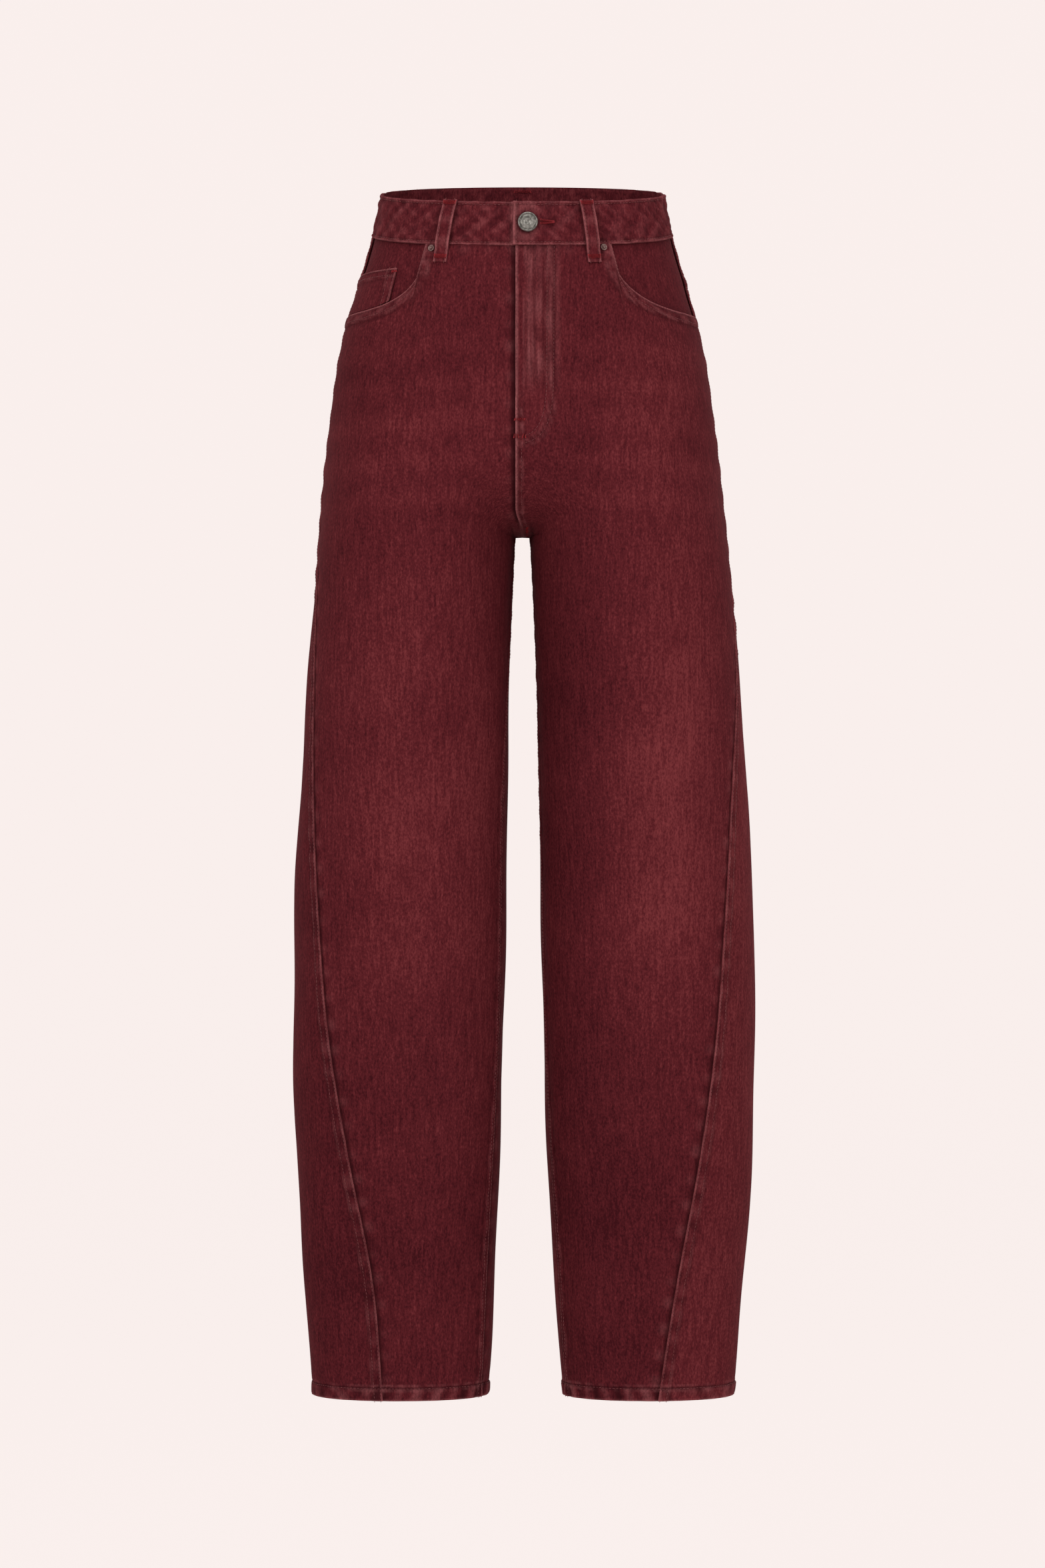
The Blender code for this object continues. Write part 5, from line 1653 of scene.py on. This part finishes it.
# %% Zigzags
def zigzag(centre, along, across, length, width, turns):
    line = []
    for i in range(turns + 1):
        t = i / turns - 0.5
        side = 0.5 if i % 2 else -0.5
        line.append(centre + along * (t * length) + across * (side * width))
    return np.array(line)


def bar_across(start, end, down, reach, width, turns):
    """A zigzag bar midway between two points of a face; its width runs along down."""
    along = end - start
    along = along / np.linalg.norm(along)
    return zigzag(end * 0.5 + start * 0.5, along, down / np.linalg.norm(down), reach, width, turns)


TACK_STEP = 0.00042
TACK_LIFT = 0.0005
LOW_TACK_LIFT = 0.0003


def tack(name, x, z, length, width, angle=0.0, lift=TACK_LIFT):
    """A bartack on a front piece, centred on x and z, its bar turned by an angle from level."""
    turns = max(8, int(length / TACK_STEP))
    a = math.radians(angle)
    line = []
    for i in range(turns + 1):
        t = (i / turns - 0.5) * length
        w = (0.5 if i % 2 else -0.5) * width
        px = x + t * math.cos(a) - w * math.sin(a)
        pz = z + t * math.sin(a) + w * math.cos(a)
        line.append(surface_point(name, px, pz, lift))
    return np.array(line)


LOOP_TACK_HEIGHT = 0.0038
LOOP_TACK_TURNS = 34
LOOP_TACK_SHARES = (0.062, 0.925)


def loop_tack(name, share):
    """A bartack across a belt loop, at a share of its length."""
    face = outer_face(name, TACK_LIFT)
    i = int(share * (len(face) - 1))
    centre = face[i, face.shape[1] // 2]
    along = face[i, -2] - face[i, 1]
    down = face[min(i + 2, len(face) - 1), 8] - face[max(i - 2, 0), 8]
    width = np.linalg.norm(along)
    down = down / np.linalg.norm(down)
    return zigzag(centre, along / width, down, width * 0.97, LOOP_TACK_HEIGHT, LOOP_TACK_TURNS)


tacks = []
back_tacks = []
for name, _, face_name, _, _ in LOOPS:
    group = tacks if face_name == "front" else back_tacks
    group += [loop_tack(name + "_cloth", share) for share in LOOP_TACK_SHARES]
tacks += [
    tack("front_left", -0.0024, -0.2027, 0.0090, 0.0022),
    tack("front_left", -0.0052, -0.2165, 0.0045, 0.0036, lift=LOW_TACK_LIFT),
    tack("front_left", 0.0012, -0.2165, 0.0030, 0.0036, lift=LOW_TACK_LIFT),
    tack("front_left", 0.0040, -0.2930, 0.0070, 0.0020, angle=90),
    tack("coin_pocket_cloth", -0.1085, -0.0745, 0.0046, 0.0018),
]
for side in ("right", "left"):
    face = outer_face("patch_pocket_" + side, LOW_TACK_LIFT)
    for j, k in ((0, 5), (-1, -6)):
        back_tacks.append(bar_across(face[3, j], face[3, k], face[6, j] - face[1, j], 0.0075, 0.0018, 20))

# %% Buttonhole
METAL_GAP = 0.0004
HOLE_LIFT = 0.0012
HOLE_POINTS = 56
HOLE_WIDE = 0.0024
HOLE_NARROWS = 0.0014
SLIT_HALF = 0.00035


def band_point(x, depth, lift):
    """A point on the left front of the band, x from the middle and a depth under the rim."""
    q = float(q_at("left", abs(x), BAND_MIDDLE_Z, "front"))
    z = float(rim_height("left", np.array(q), depth))
    rise = float(ease((BAND_RISE_START - x) / BAND_RISE_START))
    face = WAISTBAND_FACE + BAND_RISE * rise + lift
    return wrapped_point("left", q, z) + form_normal("left", q, z) * face


def buttonhole():
    """A zigzag above the slit, away from the button, and back again below it."""
    line = []
    for up, shares in ((1, np.linspace(0, 1, HOLE_POINTS)), (-1, np.linspace(1, 0, HOLE_POINTS))):
        for i, t in enumerate(shares):
            x = HOLE_START + (HOLE_END - HOLE_START) * t
            reach = HOLE_WIDE - HOLE_NARROWS * t if i % 2 else SLIT_HALF * (1 - t)
            line.append(band_point(x, HOLE_DEPTH + up * reach, HOLE_LIFT))
    return np.array(line)


hole = buttonhole()
tacks.append(hole)
print("buttonhole from", hole.min(0).round(4).tolist(), "to", hole.max(0).round(4).tolist())

# %% The red mark inside the centre back, and the thread as tubes
MARK_HEIGHT = 0.0130
MARK_LIFT = 0.0012
MARK_SIZE = (0.0150, 0.0026)
inner_face = WAISTBAND_THICKNESS - WAISTBAND_FACE + MARK_LIFT
mark = wrapped_point("left", 4.0, MARK_HEIGHT) - form_normal("left", 4.0, MARK_HEIGHT) * inner_face
back_tacks.append(zigzag(mark, np.array([1.0, 0, 0]), np.array([0, 0, 1.0]), *MARK_SIZE, 30))
TUBE_RADIUS = 0.00032
tube_values = {"Radius": TUBE_RADIUS, "Thread": RED_THREAD}
sewn += [
    grown("bartacks_front", tacks, THREAD_TUBE, tube_values),
    grown("bartacks_back", back_tacks, THREAD_TUBE, tube_values),
]

# %% [markdown]
# ## Metal
# The button is a cap crimped over a shank, and a rivet is a copper washer pinned at each pocket corner. Both
# are turned shapes, so each is a profile swung round an axis that stands square to the cloth.

# %% Turned shapes
SHARP_EDGE = math.radians(38)


def turned(name, profile, size, seat, sides, side, q, z, surface):
    """A profile of radius shares and heights, turned round an axis that stands on the form at q and z."""
    centre = wrapped_point(side, q, z)
    normal = form_normal(side, q, z)
    normal = normal / np.linalg.norm(normal)
    across = np.cross(normal, (0.0, 0.0, 1.0))
    across = across / np.linalg.norm(across)
    up = np.cross(across, normal)
    angle = np.linspace(0, 2 * math.pi, sides, endpoint=False)
    ring = np.cos(angle)[:, None] * across + np.sin(angle)[:, None] * up
    verts = np.concatenate([
        centre + ring * (size * share) + normal * (seat + height) for share, height in profile
    ])
    mesh = bpy.data.meshes.new(name)
    mesh.from_pydata([tuple(v) for v in verts], [], ring_faces(len(profile), sides))
    mesh.materials.append(surface)
    mesh.shade_smooth()
    mesh.set_sharp_from_angle(angle=SHARP_EDGE)
    return linked(name, mesh)


# %% Shank button
# From the shank's foot out over the rolled rim, down the groove and over the ring: radius share, height.
BUTTON_PROFILE = (
    (0.42, 0.0), (0.42, 0.0010), (0.90, 0.00105), (0.97, 0.0013), (1.0, 0.0018), (1.0, 0.0025),
    (0.985, 0.0029), (0.95, 0.00322), (0.90, 0.00340), (0.86, 0.00330), (0.82, 0.00290), (0.79, 0.00235),
    (0.75, 0.00230), (0.71, 0.00262), (0.62, 0.00280), (0.50, 0.00282), (0.44, 0.00262), (0.40, 0.00262),
    (0.34, 0.00300), (0.24, 0.00310), (0.17, 0.00275), (0.08, 0.00262),
)


def shank_button():
    z = float(rim_height("left", np.array(WEB_Q), WAISTBAND_HEIGHT / 2))
    q = float(q_at("left", BUTTON_X, z, "front"))
    seat = WAISTBAND_FACE + BAND_RISE + METAL_GAP
    return turned("button_cap", BUTTON_PROFILE, BUTTON_RADIUS, seat, 72, "left", q, z, AGED_METAL)


# %% Rivets
RIVET_RADIUS = 0.0029
RIVETS = {"right": (0.0770, -0.0566), "left": (0.0686, -0.0562)}
RIVET_PROFILE = (
    (0.90, 0.0), (0.98, 0.0002), (1.0, 0.0005), (0.96, 0.0008), (0.88, 0.00095), (0.74, 0.00092),
    (0.58, 0.00070), (0.50, 0.00066), (0.44, 0.00100), (0.38, 0.00150), (0.26, 0.00172), (0.10, 0.00178),
)


def rivet(side):
    x, z = RIVETS[side]
    q = float(q_at(side, x, z, "front"))
    return turned("rivet_cap_" + side, RIVET_PROFILE, RIVET_RADIUS, METAL_GAP, 36, side, q, z, RIVET_METAL)


button_cap = shank_button()
rivet_caps = {side: rivet(side) for side in ("right", "left")}
print("button across in millimetres:", round(2 * BUTTON_RADIUS / MM, 1))

# %% [markdown]
# ## Studio
# The photograph has one warm off-white ground without a visible edge. A round sweep gives that from every
# side: a floor that curves up into a wall all the way round. It glows a little, and looks brighter to the
# camera than to the cloth. Large soft lights from the front keep the shading gentle.

# %% Sweep
FLOOR_HEIGHT = -1.30
SWEEP_REACH = 9.0
SWEEP_RADIUS = 2.5
SWEEP_TOP = 6.0
SWEEP_SIDES = 72
SWEEP_STEPS = 20
FLAT_FLOOR = 3.0
PAPER = (0.10, 0.092, 0.090, 1)
PAPER_LIGHT = (0.957, 0.871, 0.850, 1)
PAPER_SEEN = 0.935
PAPER_GLOW = 0.59


def paper_material():
    made, tree, shader = new_material("warm_paper")
    shader.inputs["Base Color"].default_value = PAPER
    shader.inputs["Roughness"].default_value = 0.95
    shader.inputs["Specular IOR Level"].default_value = 0.0
    shader.inputs["Emission Color"].default_value = PAPER_LIGHT
    seen = add_node(tree, "ShaderNodeLightPath").outputs["Is Camera Ray"]
    glow = computed(tree, "MULTIPLY_ADD", seen, PAPER_SEEN - PAPER_GLOW, PAPER_GLOW)
    tree.links.new(glow, shader.inputs["Emission Strength"])
    return made


def studio_sweep():
    """A round floor that curves up into a wall, so that every camera angle has the same ground."""
    profile = [(0.02, FLOOR_HEIGHT), (FLAT_FLOOR, FLOOR_HEIGHT)]
    for t in np.linspace(0, math.pi / 2, SWEEP_STEPS):
        profile.append((SWEEP_REACH - SWEEP_RADIUS + SWEEP_RADIUS * math.sin(t),
                        FLOOR_HEIGHT + SWEEP_RADIUS * (1 - math.cos(t))))
    profile.append((SWEEP_REACH, SWEEP_TOP))
    turns = np.linspace(0, 2 * math.pi, SWEEP_SIDES, endpoint=False)
    verts = [(r * math.cos(t), r * math.sin(t), z) for r, z in profile for t in turns]
    open_at_top = ring_faces(len(profile), SWEEP_SIDES)[:-1]
    mesh = bpy.data.meshes.new("studio_sweep")
    mesh.from_pydata(verts, [], open_at_top)
    mesh.shade_smooth()
    mesh.materials.append(paper_material())
    return linked("studio_sweep", mesh)


# %% Lights and world
LIGHT_COLOUR = (1.0, 0.985, 0.97)
WORLD_COLOUR = (1.0, 0.975, 0.96, 1)
WORLD_STRENGTH = 0.34
MIDDLE_OF_GARMENT = (0, 0, -0.5)
UPPER_PART = (0, 0, -0.4)


def soft_light(name, place, target, size, power):
    data = bpy.data.lights.new(name, "AREA")
    data.shape = "RECTANGLE"
    data.size, data.size_y = size
    data.energy = power
    data.color = LIGHT_COLOUR
    made = linked(name, data)
    made.location = place
    aim = np.array(target) - np.array(place)
    made.rotation_euler = mathutils.Vector(aim).to_track_quat("-Z", "Y").to_euler()
    return made


sweep = studio_sweep()
soft_light("key_softbox", (-2.2, -3.4, 0.9), MIDDLE_OF_GARMENT, (1.8, 2.4), 40)
soft_light("fill_softbox", (2.4, -3.4, 0.2), MIDDLE_OF_GARMENT, (1.8, 2.4), 32)
soft_light("top_softbox", (0.0, -1.0, 2.2), UPPER_PART, (2.0, 1.4), 18)
world = bpy.context.scene.world or bpy.data.worlds.new("studio_world")
bpy.context.scene.world = world
world.use_nodes = True
background = world.node_tree.nodes["Background"]
background.inputs["Color"].default_value = WORLD_COLOUR
background.inputs["Strength"].default_value = WORLD_STRENGTH
bpy.context.scene.view_settings.view_transform = "Standard"
print("sweep faces:", len(sweep.data.polygons))

# %% [markdown]
# ## Hand the pieces to the frame
# Each piece rides on the one body and takes the place of its solid. For every cloth piece the flat size of
# what shows of its pattern piece is measured and printed.

# %% Ride and replace
for piece in cloth.values():
    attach(piece, "root")
    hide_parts(piece["stands_for"])
for piece in sewn:
    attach(piece, "root")
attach(button_cap, "root")
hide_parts("shank_button")
for side, piece in rivet_caps.items():
    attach(piece, "root")
    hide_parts("rivet_" + side)
bpy.data.objects.remove(STITCH_BAR)

# %% Measure the flat cut of each piece of cloth
FULLEST_RECTANGLE = 0.98


def flat_size(piece):
    """Width and length of a piece's rectangle, and its area, from its cloth map."""
    mesh = piece.data
    uv = np.zeros(len(mesh.loops) * 2, dtype=np.float32)
    mesh.uv_layers["cloth"].data.foreach_get("uv", uv)
    uv = uv.reshape(-1, 2)
    area = sum(p.area for p in mesh.polygons) / 2
    width = float(np.ptp(uv[:, 0]))
    length = float(np.ptp(uv[:, 1]))
    return width, max(length, area / width / FULLEST_RECTANGLE), area


flat_report = {}
for piece in cloth.values():
    width, length, area = flat_size(piece)
    width = math.ceil(width * 1000) / 1000
    length = math.ceil(length * 1000) / 1000
    area = math.floor(min(area, width * length) * 1e6) / 1e6
    flat_report[piece.name] = (width, length, round(area, 4))
print("flat sizes in metres:", flat_report)
